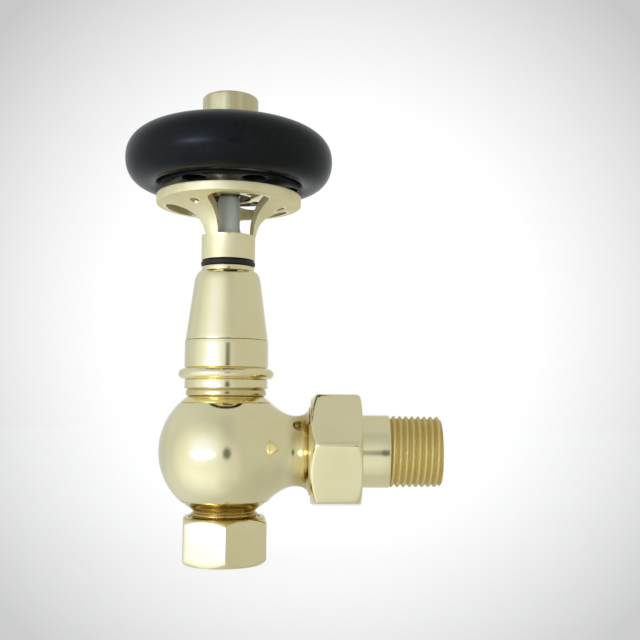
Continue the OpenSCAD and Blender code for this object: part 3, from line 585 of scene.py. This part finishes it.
def makeTail(collarMaterial, threadMaterial):
    s = tailSettings
    outline = [(s["bore"], s["flangeX"]), (s["flangeR"], s["flangeX"]), (s["flangeR"], s["flangeEndX"]),
               (s["collarR"], s["flangeEndX"])]
    outline += line((s["collarR"], 38), (s["collarR"], s["collarEndX"] - 0.5), 4)
    outline += bend((s["collarR"], s["collarEndX"] - 0.5), (s["collarR"], s["collarEndX"]),
                    (s["collarR"] - 0.5, s["collarEndX"]), 4)
    outline += [(s["r"] - s["depth"], s["collarEndX"] + 0.02), (s["bore"], s["collarEndX"] + 0.02)]
    collar = turnOnLathe("tailCollar", outline, 144, s["branchZ"])
    smoothOver(collar, 34)
    # Thread: a fine sleeve whose points move in to a groove that winds along it
    x0, x1 = s["collarEndX"] + 0.02, s["endX"]
    count = 168
    sleeve = [(s["r"], x0 + (x1 - x0) * i / count) for i in range(count + 1)]
    inner = [(s["keyAf"] / 2 / math.cos(math.radians(30)) - 0.15, x1 - 0.4),
             (s["keyAf"] / 2 / math.cos(math.radians(30)) - 0.15, x1 - s["keyL"]),
             (s["bore"] - 0.4, x1 - s["keyL"]), (s["bore"] - 0.4, x0)]
    thread = turnOnLathe("tailThread", sleeve + inner, 120, s["branchZ"])
    for vertex in thread.data.vertices:
        y, up = vertex.co.y / mm, vertex.co.z / mm - s["branchZ"]
        r, x = math.hypot(y, up), vertex.co.x / mm
        turn = math.atan2(up, y) / math.tau
        if r > s["r"] - 0.1:
            wave = abs(((x - x0) / s["pitch"] + turn) % 1 - 0.5) * 2     # 0 in the root, 1 on the crest
            height = min(1, max(0, (wave - 0.06) / 0.78))
            new = s["r"] - s["taper"] * (x - x0) / (x1 - x0) - s["depth"] * (1 - height)
            new = min(new, s["r"] - 0.75 + 1.1 * (x1 - x), s["r"] + 0.05)
            if x - x0 < 1.2:
                new = max(min(new, s["r"]), s["r"] - s["depth"])
        elif x > x1 - s["keyL"] - 0.01 and r > s["bore"] - 0.1:
            angle = math.degrees(math.atan2(y, up)) % 60 - 30
            new = s["keyAf"] / 2 / math.cos(math.radians(angle))
            new = min(new, r + 0.1)
        else:
            new = r
        vertex.co.y, vertex.co.z = y * new / r * mm, (s["branchZ"] + up * new / r) * mm
    thread.data.update()
    smoothOver(thread, 50)
    dress(collar, collarMaterial, "valve")
    dress(thread, threadMaterial, "valve", ["tailpiece"])
    print("tail made")


# Bonnet, skirt and neck

bonnetSettings = {
    "footZ": 38.5, "threadR": 11.0, "z": 48.45, "ringR": 11.85, "lowZ": 50.6, "bandR": 12.35, "beadZ": 53.4,
    "beadR": 14.2, "beadH": 3.2, "topZ": 56.6, "skirtZ": 64.9, "spigotR": 9.6, "spigotH": 3.2, "bore": 5.9,
    "boreTop": 6.95, "ledgeZ": 40.5,
}


def makeBonnet(material):
    s = bonnetSettings
    half = s["beadH"] / 2
    outline = [(s["bore"], s["footZ"]), (s["threadR"] - 0.6, s["footZ"]), (s["threadR"], s["footZ"] + 0.6),
               (s["threadR"], s["z"])]
    outline += arc(s["ringR"] - 0.45, s["z"] + 0.55, 0.5, -80, 0, 5)
    outline += arc(s["ringR"] - 0.45, s["lowZ"] - 0.75, 0.5, 0, 70, 5)
    outline += bend((s["ringR"] - 0.35, s["lowZ"] - 0.18), (s["ringR"] - 0.4, s["lowZ"] - 0.02),
                    (s["bandR"] - 0.35, s["lowZ"] + 0.02), 4)
    outline += arc(s["bandR"] - 0.35, s["lowZ"] + 0.4, 0.37, -80, 0, 5)
    outline += arc(s["bandR"] - 0.35, s["beadZ"] - 0.45, 0.37, 0, 60, 4)
    outline += [(s["bandR"] - 0.3, s["beadZ"] - 0.06)]
    outline += [(s["beadR"] - half * 1.15 + half * 1.15 * math.cos(math.radians(a)),
                 s["beadZ"] + half + half * math.sin(math.radians(a))) for a in range(-76, 77, 8)]
    outline += [(s["bandR"] - 0.25, s["topZ"] + 0.1)]
    outline += arc(s["bandR"] - 0.25, s["topZ"] + 0.5, 0.35, -70, 0, 4)
    outline += line((s["bandR"] + 0.1, s["topZ"] + 0.9), (s["bandR"] + 0.1, s["skirtZ"] - 0.2), 6)
    outline += bend((s["bandR"] + 0.1, s["skirtZ"] - 0.2), (s["bandR"] + 0.08, s["skirtZ"] - 0.06),
                    (s["bandR"] - 0.1, s["skirtZ"] - 0.04), 3)
    outline += [(s["spigotR"], s["skirtZ"] - 0.04), (s["spigotR"], s["skirtZ"] + 2.7), (s["spigotR"] - 0.5, s["skirtZ"] + 3.2),
                (s["boreTop"], s["skirtZ"] + 3.2), (s["boreTop"], s["ledgeZ"]), (s["bore"], s["ledgeZ"])]
    bonnet = turnOnLathe("bonnet", outline, 144)
    smoothOver(bonnet, 34)
    dress(bonnet, material, "valve", ["bonnet"])


skirtSettings = {"z": 64.9, "topZ": 85.6, "footR": 12.27, "shoulderR": 10.0, "shoulderH": 3.5, "topR": 8.6,
                 "inner": 6.95}


def makeSkirt(material):
    s = skirtSettings
    shoulderZ = s["topZ"] - s["shoulderH"]
    outline = [(9.65, s["z"] + 0.04)]
    outline += bend((s["footR"] - 0.25, s["z"] + 0.04), (s["footR"], s["z"] + 0.05), (s["footR"], s["z"] + 0.25), 4)
    outline += line((s["footR"], s["z"] + 0.4), (s["shoulderR"], shoulderZ), 12)
    outline += bend((s["shoulderR"], shoulderZ), (s["shoulderR"] - 0.36, s["topZ"] - 0.8),
                    (s["topR"], s["topZ"] - 0.12), 12)
    outline += [(s["topR"] - 0.2, s["topZ"]), (s["inner"], s["topZ"]), (s["inner"], shoulderZ), (7.8, shoulderZ),
                (9.65, s["z"] + 3.2)]
    skirt = turnOnLathe("skirt", outline, 144)
    smoothOver(skirt, 34)
    dress(skirt, material, "valve", ["skirt"])


collarSettings = {"z": 85.6, "topZ": 87.05, "r": 7.95, "shankR": 6.9, "footZ": 57.4, "bore": 4.2, "hole": 5.55,
                  "holeZ": 77.6}


def makeCollar(material):
    s = collarSettings
    outline = [(s["bore"], s["footZ"]), (s["shankR"] - 0.5, s["footZ"]), (s["shankR"], s["footZ"] + 0.5),
               (s["shankR"], s["z"] + 0.02)]
    outline += bend((s["r"] - 0.25, s["z"] + 0.02), (s["r"], s["z"] + 0.02), (s["r"], s["z"] + 0.22), 4)
    outline += bend((s["r"], s["topZ"] - 0.3), (s["r"], s["topZ"]), (s["r"] - 0.3, s["topZ"]), 4)
    outline += [(s["hole"], s["topZ"]), (s["hole"], s["holeZ"]), (s["bore"], s["holeZ"])]
    collar = turnOnLathe("neckCollar", outline, 128)
    smoothOver(collar, 34)
    dress(collar, material, "valve", ["neck_adapter"])


ringSettings = {"inner": 5.55, "outer": 8.1, "z": 87.05, "h": 1.95}


def makeNeckRing(material):
    s = ringSettings
    half = s["h"] / 2
    outline = [(s["inner"], s["z"])] + arc(s["outer"] - half * 0.92, s["z"] + half, half * 0.96, -88, 88, 16)
    outline = [(r, min(max(z, s["z"]), s["z"] + s["h"])) for r, z in outline] + [(s["inner"], s["z"] + s["h"])]
    ring = turnOnLathe("neckRing", outline, 128)
    smoothOver(ring, 40)
    dress(ring, material, "valve", ["neck_o_ring"])
    print("bonnet, skirt and neck made")


# Yoke

yokeSettings = {
    "spigotR": 5.5, "spigotZ": 78.0, "footZ": 89.0, "neckR": 8.03, "armR": 8.35, "sillZ": 96.4, "waistZ": 97.7,
    "flangeR": 21.8, "flangeZ": 108.7, "rimT": 2.75, "boreR": 6.6, "floorZ": 91.3, "guideR": 3.3,
    "windowSide": 43, "windowFlat": 5.0, "windowLean": 5, "windowCorner": 3.5, "reach": 19.0, "armTurn": -4, "holeR": 1.35, "holeCircle": 15.5,
    "edge": 0.18, "hollowR": 14.6, "webT": 1.0, "bearingR": 8.2, "bearingLowZ": 108.2, "bearingTopZ": 110.85, "grooveZ": 109.55, "grooveH": 0.9,
    "grooveR": 7.05,
}


def makeYoke(material, wallMaterial):
    s = yokeSettings
    rimZ = s["flangeZ"] - s["rimT"]
    outline = [(s["guideR"], s["spigotZ"]), (s["spigotR"] - 0.5, s["spigotZ"]), (s["spigotR"], s["spigotZ"] + 0.5),
               (s["spigotR"], s["footZ"])]
    outline += bend((s["neckR"] - 0.3, s["footZ"]), (s["neckR"], s["footZ"]), (s["neckR"], s["footZ"] + 0.3), 4)
    outline += line((s["neckR"], s["footZ"] + 0.6), (s["neckR"], s["sillZ"] - 0.8), 6)
    outline += bend((s["neckR"], s["sillZ"] - 0.8), (s["neckR"] + 0.04, s["sillZ"] + 0.2),
                    (s["armR"], s["waistZ"] - 0.6), 4)
    outline += bend((s["armR"], s["waistZ"] - 0.6), (s["armR"] + 0.85, rimZ - 1.3), (s["flangeR"] - 0.3, rimZ), 26)[1:]
    outline += arc(s["flangeR"] - 0.35, rimZ + 0.35, 0.35, -60, 0, 4)
    outline += line((s["flangeR"], rimZ + 0.5), (s["flangeR"], s["flangeZ"] - 0.35), 3)
    outline += arc(s["flangeR"] - 0.35, s["flangeZ"] - 0.35, 0.35, 0, 90, 5)
    outline += [(s["boreR"] + 4, s["flangeZ"]), (s["boreR"], s["flangeZ"]), (s["boreR"], s["floorZ"]),
                (s["guideR"], s["floorZ"])]
    yoke = turnOnLathe("yoke", outline, 180)
    # Turned out inside, so that arms and flange are thin
    hollow = [(0, s["waistZ"]), (s["boreR"], s["waistZ"])]
    hollow += bend((s["boreR"], s["waistZ"] + 0.6), (s["boreR"] + 0.9, rimZ - 0.1), (s["hollowR"], rimZ + 1.3), 16)
    hollow += [(s["hollowR"], s["flangeZ"] - s["webT"]), (0, s["flangeZ"] - s["webT"])]
    cutWith(yoke, turnOnLathe("hollow", hollow, 120))
    # The three windows, each with a radial wall, a straight wall and a round outer wall between them
    corner, lean = s["windowCorner"], math.radians(s["windowLean"])
    middleR = s["reach"] - corner
    low = s["windowSide"] - math.degrees(math.asin(corner / middleR))
    high = s["windowLean"] + math.degrees(math.asin((s["windowFlat"] * math.cos(lean) - corner) / middleR))
    lowTurn, highTurn = math.radians(low), math.radians(high)
    wedge = [(0, 0)] + arc(middleR * math.cos(lowTurn), -middleR * math.sin(lowTurn), corner,
                           -s["windowSide"] - 90, -low, 8)
    wedge += arc(0, 0, s["reach"], 2 - low, high - 2, 20)
    wedge += arc(middleR * math.cos(highTurn), middleR * math.sin(highTurn), corner,
                 high, s["windowLean"] + 90, 8) + [(0, s["windowFlat"])]
    for k in range(3):
        cutter = pushUp("windowWedge", wedge, s["sillZ"], s["flangeZ"] + 2)
        turnMesh(cutter, s["armTurn"] + 60 + 120 * k)
        cutWith(yoke, cutter)
    for k in range(3):
        clearSelection()
        turn = math.radians(s["armTurn"] + 120 * k)
        bpy.ops.mesh.primitive_cylinder_add(vertices=40, radius=s["holeR"] * mm, depth=0.03,
                                            location=(s["holeCircle"] * mm * math.cos(turn),
                                                      s["holeCircle"] * mm * math.sin(turn), s["flangeZ"] * mm))
        drill = bpy.context.object
        bpy.ops.object.transform_apply(location=True, rotation=True, scale=True)
        cutWith(yoke, drill)
    closeUp(yoke, 1e-6)
    applyModifier(yoke, "BEVEL", width=s["edge"] * mm, segments=2, limit_method="ANGLE",
                  angle_limit=math.radians(50), use_clamp_overlap=True)
    ring = [(s["boreR"], s["bearingLowZ"] + 0.15), (s["boreR"] + 0.15, s["bearingLowZ"]),
            (s["bearingR"] - 0.15, s["bearingLowZ"]), (s["bearingR"], s["bearingLowZ"] + 0.15),
            (s["bearingR"], s["bearingTopZ"] - 0.15), (s["bearingR"] - 0.15, s["bearingTopZ"]),
            (s["boreR"] + 0.15, s["bearingTopZ"]), (s["boreR"], s["bearingTopZ"] - 0.15),
            (s["boreR"], s["grooveZ"] + s["grooveH"]), (s["grooveR"], s["grooveZ"] + s["grooveH"]),
            (s["grooveR"], s["grooveZ"]), (s["boreR"], s["grooveZ"])]
    # The milled walls of the windows are a piece of their own, duller than the turned outside
    pick(yoke)
    for polygon in yoke.data.polygons:
        middle, normal = polygon.center, polygon.normal
        reach = math.hypot(middle.x, middle.y)
        outward = (normal.x * middle.x + normal.y * middle.y) / max(reach, 1e-6)
        polygon.select = (abs(normal.z) < 0.1 and outward < 0.75 and reach > (s["boreR"] - 0.1) * mm
                          and s["sillZ"] * mm < middle.z < (s["flangeZ"] - 0.1) * mm)
    bpy.ops.object.mode_set(mode="EDIT")
    bpy.ops.mesh.separate(type="SELECTED")
    bpy.ops.object.mode_set(mode="OBJECT")
    walls = next(piece for piece in bpy.context.selected_objects if piece != yoke)
    walls.name = walls.data.name = "windowWalls"
    smoothOver(walls, 38)
    dress(walls, wallMaterial, "valve", ["yoke"])
    yoke = joinPieces(yoke, turnOnLathe("bearingRing", ring, 128))
    smoothOver(yoke, 38)
    dress(yoke, material, "valve", ["yoke"])
    print("yoke made", len(yoke.data.polygons), "faces")


# Wheel and cap

wheelShape = {
    "z": 119.3, "r": 31.2, "h": 19.8, "crestR": 16.2, "power": 2.35, "dishZ": 127.8, "capR": 8.45, "seatR": 21.35,
    "seatZ": 112.5, "lipR": 24.0, "lipZ": 112.2, "lowH": 8.0, "lowPower": 2.1, "cavityR": 13.0, "cavityZ": 125.2, "spigotR": 6.0,
}


def makeWheel(material):
    s = wheelShape
    top = s["z"] + s["h"] / 2
    rim = []
    # Rounder below, where it turns in to the seat of the vented plate, and fuller above
    for i in range(61):
        a = math.radians(-90 + 3 * i)
        low = a < 0
        middle, height, power = (s["lipR"], s["lowH"], s["lowPower"]) if low else (s["crestR"], s["h"] / 2, s["power"])
        r = middle + (s["r"] - middle) * abs(math.cos(a)) ** (2 / power)
        z = s["z"] + math.copysign(height * abs(math.sin(a)) ** (2 / power), math.sin(a))
        rim.append((r, z))
    outline = [(s["seatR"], s["lipZ"] + 0.25), (s["seatR"] + 0.12, s["lipZ"] + 0.08)]
    outline += bend((s["seatR"] + 0.35, s["lipZ"]), (s["lipR"] - 1.5, rim[0][1]), rim[0], 8)[:-1] + rim
    outline += bend((s["crestR"], top), (s["crestR"] - 3.5, top), (s["capR"] + 1.2, s["dishZ"]), 14)[1:]
    outline += [(s["spigotR"], s["dishZ"]), (s["spigotR"], s["cavityZ"]), (s["cavityR"], s["cavityZ"]),
                (s["cavityR"], s["seatZ"] + 7.7), (s["seatR"] - 0.6, s["seatZ"]), (s["seatR"], s["seatZ"])]
    wheel = turnOnLathe("wheelRim", outline, 180)
    smoothOver(wheel, 34)
    dress(wheel, material, "wheel", ["handwheel"])


capSettings = {"r": 8.45, "z": 127.8, "topZ": 139.4, "edge": 1.0, "spigotR": 5.95, "spigotZ": 125.4}


def makeCap(material):
    s = capSettings
    outline = [(0, s["spigotZ"]), (s["spigotR"], s["spigotZ"]), (s["spigotR"], s["z"]), (s["r"] - 0.2, s["z"]),
               (s["r"], s["z"] + 0.2)]
    outline += line((s["r"], s["z"] + 1), (s["r"], s["topZ"] - s["edge"]), 6)
    outline += arc(s["r"] - s["edge"], s["topZ"] - s["edge"], s["edge"], 0, 90, 10)
    outline += [(4, s["topZ"]), (0, s["topZ"])]
    cap = turnOnLathe("capButton", outline, 144)
    smoothOver(cap, 34)
    dress(cap, material, "wheel", ["wheel_cap"])
    print("wheel and cap made")


# Smaller pieces that keep their solids' shapes

# Copy of a solid with its points merged and its round faces smooth
rodShape = {"endZ": 72.0, "footZ": 95.1, "footR": 4.8, "stepZ": 97.2, "r": 3.3, "topZ": 108.3, "guideAf": 5.6, "tipAf": 4.3}


# Grey core in the yoke's windows: round, with a wider foot, on a hexagonal guide and under a hexagonal tip
def makeRod(material):
    s = rodShape
    tipZ = max(vertex.co.z for vertex in frame["nodes"]["push_rod"].data.vertices) / mm
    outline = [(0, s["footZ"]), (s["footR"], s["footZ"]), (s["footR"], s["stepZ"] - 1)]
    outline += bend((s["footR"], s["stepZ"] - 0.4), (s["r"], s["stepZ"] + 0.3), (s["r"], s["stepZ"] + 2.6), 10)
    outline += line((s["r"], s["stepZ"] + 3), (s["r"], s["topZ"] - 0.6), 6)
    outline += [(s["r"] - 0.15, s["topZ"] - 0.15), (s["r"] - 0.6, s["topZ"]), (0, s["topZ"])]
    rod = turnOnLathe("pushRod", outline, 96)
    for across, z0, z1 in ((s["guideAf"], s["endZ"], s["footZ"]), (s["tipAf"], s["topZ"], tipZ)):
        corner = across / math.sqrt(3)
        hexagon = [(corner * math.cos(math.radians(60 * k)), corner * math.sin(math.radians(60 * k))) for k in range(6)]
        rod = joinPieces(rod, pushUp("rodEnd", hexagon, z0, z1))
    smoothOver(rod, 40)
    dress(rod, material, "stem", ["push_rod"])


def copyNode(node, name):
    source = frame["nodes"][node]
    copy = source.copy()
    copy.data = source.data.copy()
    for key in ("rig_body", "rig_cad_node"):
        if key in copy:
            del copy[key]
    copy.parent = None
    copy.name = copy.data.name = name
    bpy.context.scene.collection.objects.link(copy)
    copy.hide_viewport = copy.hide_render = False
    copy.hide_set(False)
    return copy


def smoothCopy(node, name, material, body, edge=0.0):
    copy = copyNode(node, name)
    pick(copy)
    bpy.ops.object.mode_set(mode="EDIT")
    bpy.ops.mesh.select_all(action="SELECT")
    bpy.ops.mesh.remove_doubles(threshold=1e-6)
    bpy.ops.mesh.dissolve_limited(angle_limit=math.radians(0.5))
    bpy.ops.object.mode_set(mode="OBJECT")
    if edge:
        applyModifier(copy, "BEVEL", width=edge * mm, segments=2, limit_method="ANGLE",
                      angle_limit=math.radians(45), use_clamp_overlap=True)
    smoothOver(copy, 34)
    dress(copy, material, body, [node])
    return copy


# Return spring, in two pieces cut across it: most of it below the cut, the last turns above
def makeSpring(material):
    low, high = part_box("return_spring")
    middle = high[2] - 0.3 * (high[2] - low[2])
    parts = (("returnSpring", False, "valve", "carrier", low[2], middle),
             ("returnSpringTop", True, "carrier", "stem", middle, high[2]))
    for name, keepTop, lower, upper, start, end in parts:
        piece = copyNode("return_spring", name)
        pick(piece)
        bpy.ops.object.mode_set(mode="EDIT")
        bpy.ops.mesh.select_all(action="SELECT")
        bpy.ops.mesh.remove_doubles(threshold=1e-6)
        bpy.ops.mesh.bisect(plane_co=(0, 0, middle), plane_no=(0, 0, 1), use_fill=True,
                            clear_inner=keepTop, clear_outer=not keepTop)
        bpy.ops.object.mode_set(mode="OBJECT")
        smoothOver(piece, 38)
        piece.data.materials.clear()
        piece.data.materials.append(material)
        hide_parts("return_spring")
        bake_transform(piece)



# Build

valveBrass = polishedBrass("polishedBrass")
branchBrass = polishedBrass("polishedBrassBranch", branch=True)
satin = satinBrass()
threaded = threadBrass(tailSettings)
machined = plainBrass("plainBrass", plainSettings)
milled = plainBrass("milledBrass", milledSettings)
wheelBlack = blackWheel()
plateBlack = blackPlate()
rubber = sealRubber()
grey = greyPlastic()
steel = drawnSteel("drawnSteel", (0.56, 0.57, 0.58), (0.44, 0.45, 0.47), 0.22)
darkSteel = drawnSteel("darkSteel", (0.10, 0.10, 0.105), (0.06, 0.06, 0.065), 0.35)
slotMaterials = {
    "polished_brass": valveBrass, "plain_brass": machined, "satin_brass": satin, "steel": steel,
    "dark_steel": darkSteel, "seal_rubber": rubber, "grey_plastic": grey, "black_wheel": wheelBlack,
    "black_plate": plateBlack,
}
for part in frame["record"]["subparts"]:
    solid = frame["nodes"][part["node"]]
    solid.data.materials.clear()
    solid.data.materials.append(slotMaterials[part["material_slot"]])

makeValveBody(valveBrass)
makePipeNut(valveBrass)
makeUnionNut(branchBrass)
makeTail(branchBrass, threaded)
makeBonnet(valveBrass)
makeSkirt(valveBrass)
makeCollar(valveBrass)
makeNeckRing(rubber)
makeYoke(valveBrass, milled)
makeWheel(wheelBlack)
makeCap(satin)
makeRod(grey)
smoothCopy("wheel_base_plate", "ventedPlate", plateBlack, "wheel", 0.12)
smoothCopy("sensor_carrier", "carrierNose", machined, "carrier")
makeSpring(steel)
print("small pieces made")


# Studio

studio = {
    "floorSize": 3.0, "floorZ": -0.0004, "glow": 0.90,
    # Where the backdrop is brightest, and how it falls off towards the corners
    "stand": (0.0278, -0.2687, 0.0460), "ahead": (0.0, 0.99556, 0.09411), "evenTo": 0.0285, "fall": 6.0, "least": 0.58,
    # Levels of the room: all round, soft light from the left, its bright middle, the floor in front
    "room": 0.64, "left": 0.33, "window": 0.26, "pane": 9.0, "paneUp": -0.07, "paneTall": 0.17, "dip": 0.12, "front": 0.07, "behind": 0.16, "corner": 0.06, "figure": 0.20, "figureWide": 0.14, "figureTall": 0.20,
    "side": 0.09, "lowRight": 0.12, "dimmed": 0.65, "windowTint": (0.93, 1.04, 1.42), "windowUp": 0.02,
    "windowWay": (-0.545, -0.839), "windowWide": 0.42, "windowTall": 0.36, "figureWay": (0.153, -0.988),
    "coolTint": (1.0, 1.085, 1.175), "warmTint": (1.0, 1.04, 1.03),
    "keyPlace": (-0.44, -0.68, 0.055), "keySize": (0.30, 0.22), "keyPower": 0.9,
    "fillPlace": (0.25, -0.3, 0.8), "fillSize": (0.5, 0.5), "fillPower": 0.8,
}


# Brightness of the backdrop along a direction: even in the middle, darker towards the corners
def backdropLevel(x, y, z):
    ahead = studio["ahead"]
    away = 1.0 - (x * ahead[0] + y * ahead[1] + z * ahead[2]) - studio["evenTo"]
    return (1.0 - away.most(0.0) * studio["fall"]).most(studio["least"])


def lightPath(make):
    made = make.node("ShaderNodeLightPath")
    outputs = made.socket.node.outputs
    return [Sock(make, outputs[name]) for name in ("Is Camera Ray", "Is Glossy Ray", "Is Transmission Ray")]


def makeFloor():
    s = studio
    clearSelection()
    bpy.ops.mesh.primitive_plane_add(size=s["floorSize"], location=(0, 0, s["floorZ"]))
    floor = bpy.context.object
    floor.name = "studioFloor"
    bpy.ops.object.transform_apply(location=True, rotation=True, scale=True)
    material = bpy.data.materials.new("paleFloor")
    material.use_nodes = True
    tree = material.node_tree
    tree.nodes.clear()
    make = Maker(tree)
    place = make.place()
    stand = make.node("ShaderNodeVectorMath", {"operation": "SUBTRACT"}, {0: place, 1: s["stand"]})
    way = make.node("ShaderNodeVectorMath", {"operation": "NORMALIZE"}, {0: stand})
    level = backdropLevel(*make.axes(way))
    speckle = make.noise(place, 40, 2)
    tone = make.mix(speckle * 0.2, (0.86, 0.86, 0.86), (0.84, 0.84, 0.845))
    matt = make.node("ShaderNodeBsdfDiffuse", {}, {"Color": tone})
    glow = make.node("ShaderNodeEmission", {}, {"Color": (1, 1, 1, 1), "Strength": level * 1.05})
    seen, glossy, through = lightPath(make)
    share = (seen + glossy + through).clipped() * s["glow"]
    both = make.node("ShaderNodeMixShader", {}, {0: share, 1: matt, 2: glow})
    out = tree.nodes.new("ShaderNodeOutputMaterial")
    tree.links.new(both.socket, out.inputs["Surface"])
    floor.data.materials.append(material)
    floor.visible_glossy = False


# Room that lights the brass and shows in it: soft window at the front left, even walls elsewhere
def makeRoom():
    s = studio
    world = bpy.data.worlds.new("paleRoom")
    bpy.context.scene.world = world
    world.use_nodes = True
    tree = world.node_tree
    tree.nodes.clear()
    make = Maker(tree)
    x, y, z = make.axes(make.node("ShaderNodeTexCoord", out=0))
    wx, wy = s["windowWay"]
    towards = x * wx + y * wy
    across = (x * wy * -1 + y * wx) / s["windowWide"]
    upward = (z - s["windowUp"]) / s["windowTall"]
    reach = (across * across + upward * upward) ** 0.5
    ahead = towards.ramp(0.0, 0.2)
    window = (1 - reach.ramp(0.4, 1.5)) * ahead
    middle = (across * across * 0.8 + ((z - s["paneUp"]) / s["paneTall"]) ** 2.0) ** 0.5
    pane = (1 - middle.ramp(0.0, 1.0)) ** 1.5 * ahead
    wash = (towards - z * 0.3).ramp(0.34, 0.97)
    front = (z * -1).ramp(0.15, 0.7) * (y * -1).ramp(0.1, 0.7)
    behind = y.ramp(0.80, 0.99)
    corner = (x * -0.766 + y * 0.643).ramp(0.93, 0.985)
    fx, fy = s["figureWay"]
    aside = x * fy * -1 + y * fx
    apart = ((aside / s["figureWide"]) ** 2.0 + ((z + 0.045) / s["figureTall"]) ** 2.0) ** 0.5
    figure = (1 - apart.ramp(0.35, 1.3)) * (x * fx + y * fy).ramp(0.3, 0.6)
    side = (x * -1).ramp(0.25, 0.9)
    dip = (1 - aside.size().ramp(0.04, 0.36)) * (x * fx + y * fy).ramp(0.3, 0.6)
    level = s["room"] + wash * s["left"] + window * s["window"] + front * s["front"] + side * s["side"]
    level = level + behind * s["behind"] - corner * s["corner"] - (z * -1).ramp(0.1, 0.7) * x * s["lowRight"]
    level = level * (1 - dip * s["dip"]) * (1 - figure) + figure * s["figure"]
    tint = make.mix((x * -1 + y * -0.4).ramp(-0.35, 0.6), s["warmTint"], s["coolTint"])
    tint = make.mix(window, tint, s["windowTint"])
    # The backdrop fills the view; the walls stand all round it
    view = s["ahead"]
    seen, glossy, through = lightPath(make)
    facing = (x * view[0] + y * view[1] + z * view[2]).ramp(0.855, 0.885) * (1 - glossy * s["dimmed"])
    facing = facing.most(seen)
    shownLevel = (level + pane * s["pane"]) * (1 - facing) + backdropLevel(x, y, z) * facing
    shownTint = make.mix(facing, tint, (1, 1, 1))
    plain = make.node("ShaderNodeBackground", {}, {"Color": tint, "Strength": level + pane})
    shown = make.node("ShaderNodeBackground", {}, {"Color": shownTint, "Strength": shownLevel})
    mixed = make.node("ShaderNodeMixShader", {}, {0: (seen + glossy + through).clipped(), 1: plain, 2: shown})
    out = tree.nodes.new("ShaderNodeOutputWorld")
    tree.links.new(mixed.socket, out.inputs["Surface"])


def makeLamp(name, place, size, power, shows):
    data = bpy.data.lights.new(name, "AREA")
    data.shape = "RECTANGLE"
    data.size, data.size_y, data.energy = *size, power
    lamp = bpy.data.objects.new(name, data)
    lamp.location = place
    lamp.rotation_euler = (Vector((0, 0, 0.06)) - Vector(place)).to_track_quat("-Z", "Y").to_euler()
    lamp.visible_glossy = shows
    bpy.context.scene.collection.objects.link(lamp)


cameraSettings = {"place": studio["stand"], "lens": 50.625, "pitch": 5.4, "roll": 0.36}


def makeCamera():
    s = cameraSettings
    data = bpy.data.cameras.new("photoCamera")
    data.lens, data.sensor_width = s["lens"], 36
    data.clip_start, data.clip_end = 0.01, 20
    camera = bpy.data.objects.new("photoCamera", data)
    camera.location = s["place"]
    turn = Matrix.Rotation(math.radians(90 + s["pitch"]), 4, "X") @ Matrix.Rotation(math.radians(s["roll"]), 4, "Z")
    camera.rotation_euler = turn.to_euler()
    bpy.context.scene.collection.objects.link(camera)
    bpy.context.scene.camera = camera


makeFloor()
makeRoom()
makeLamp("keyLamp", studio["keyPlace"], studio["keySize"], studio["keyPower"], False)
makeLamp("fillLamp", studio["fillPlace"], studio["fillSize"], studio["fillPower"], False)
makeCamera()
bpy.context.scene.view_settings.view_transform = "Standard"
print("studio made")
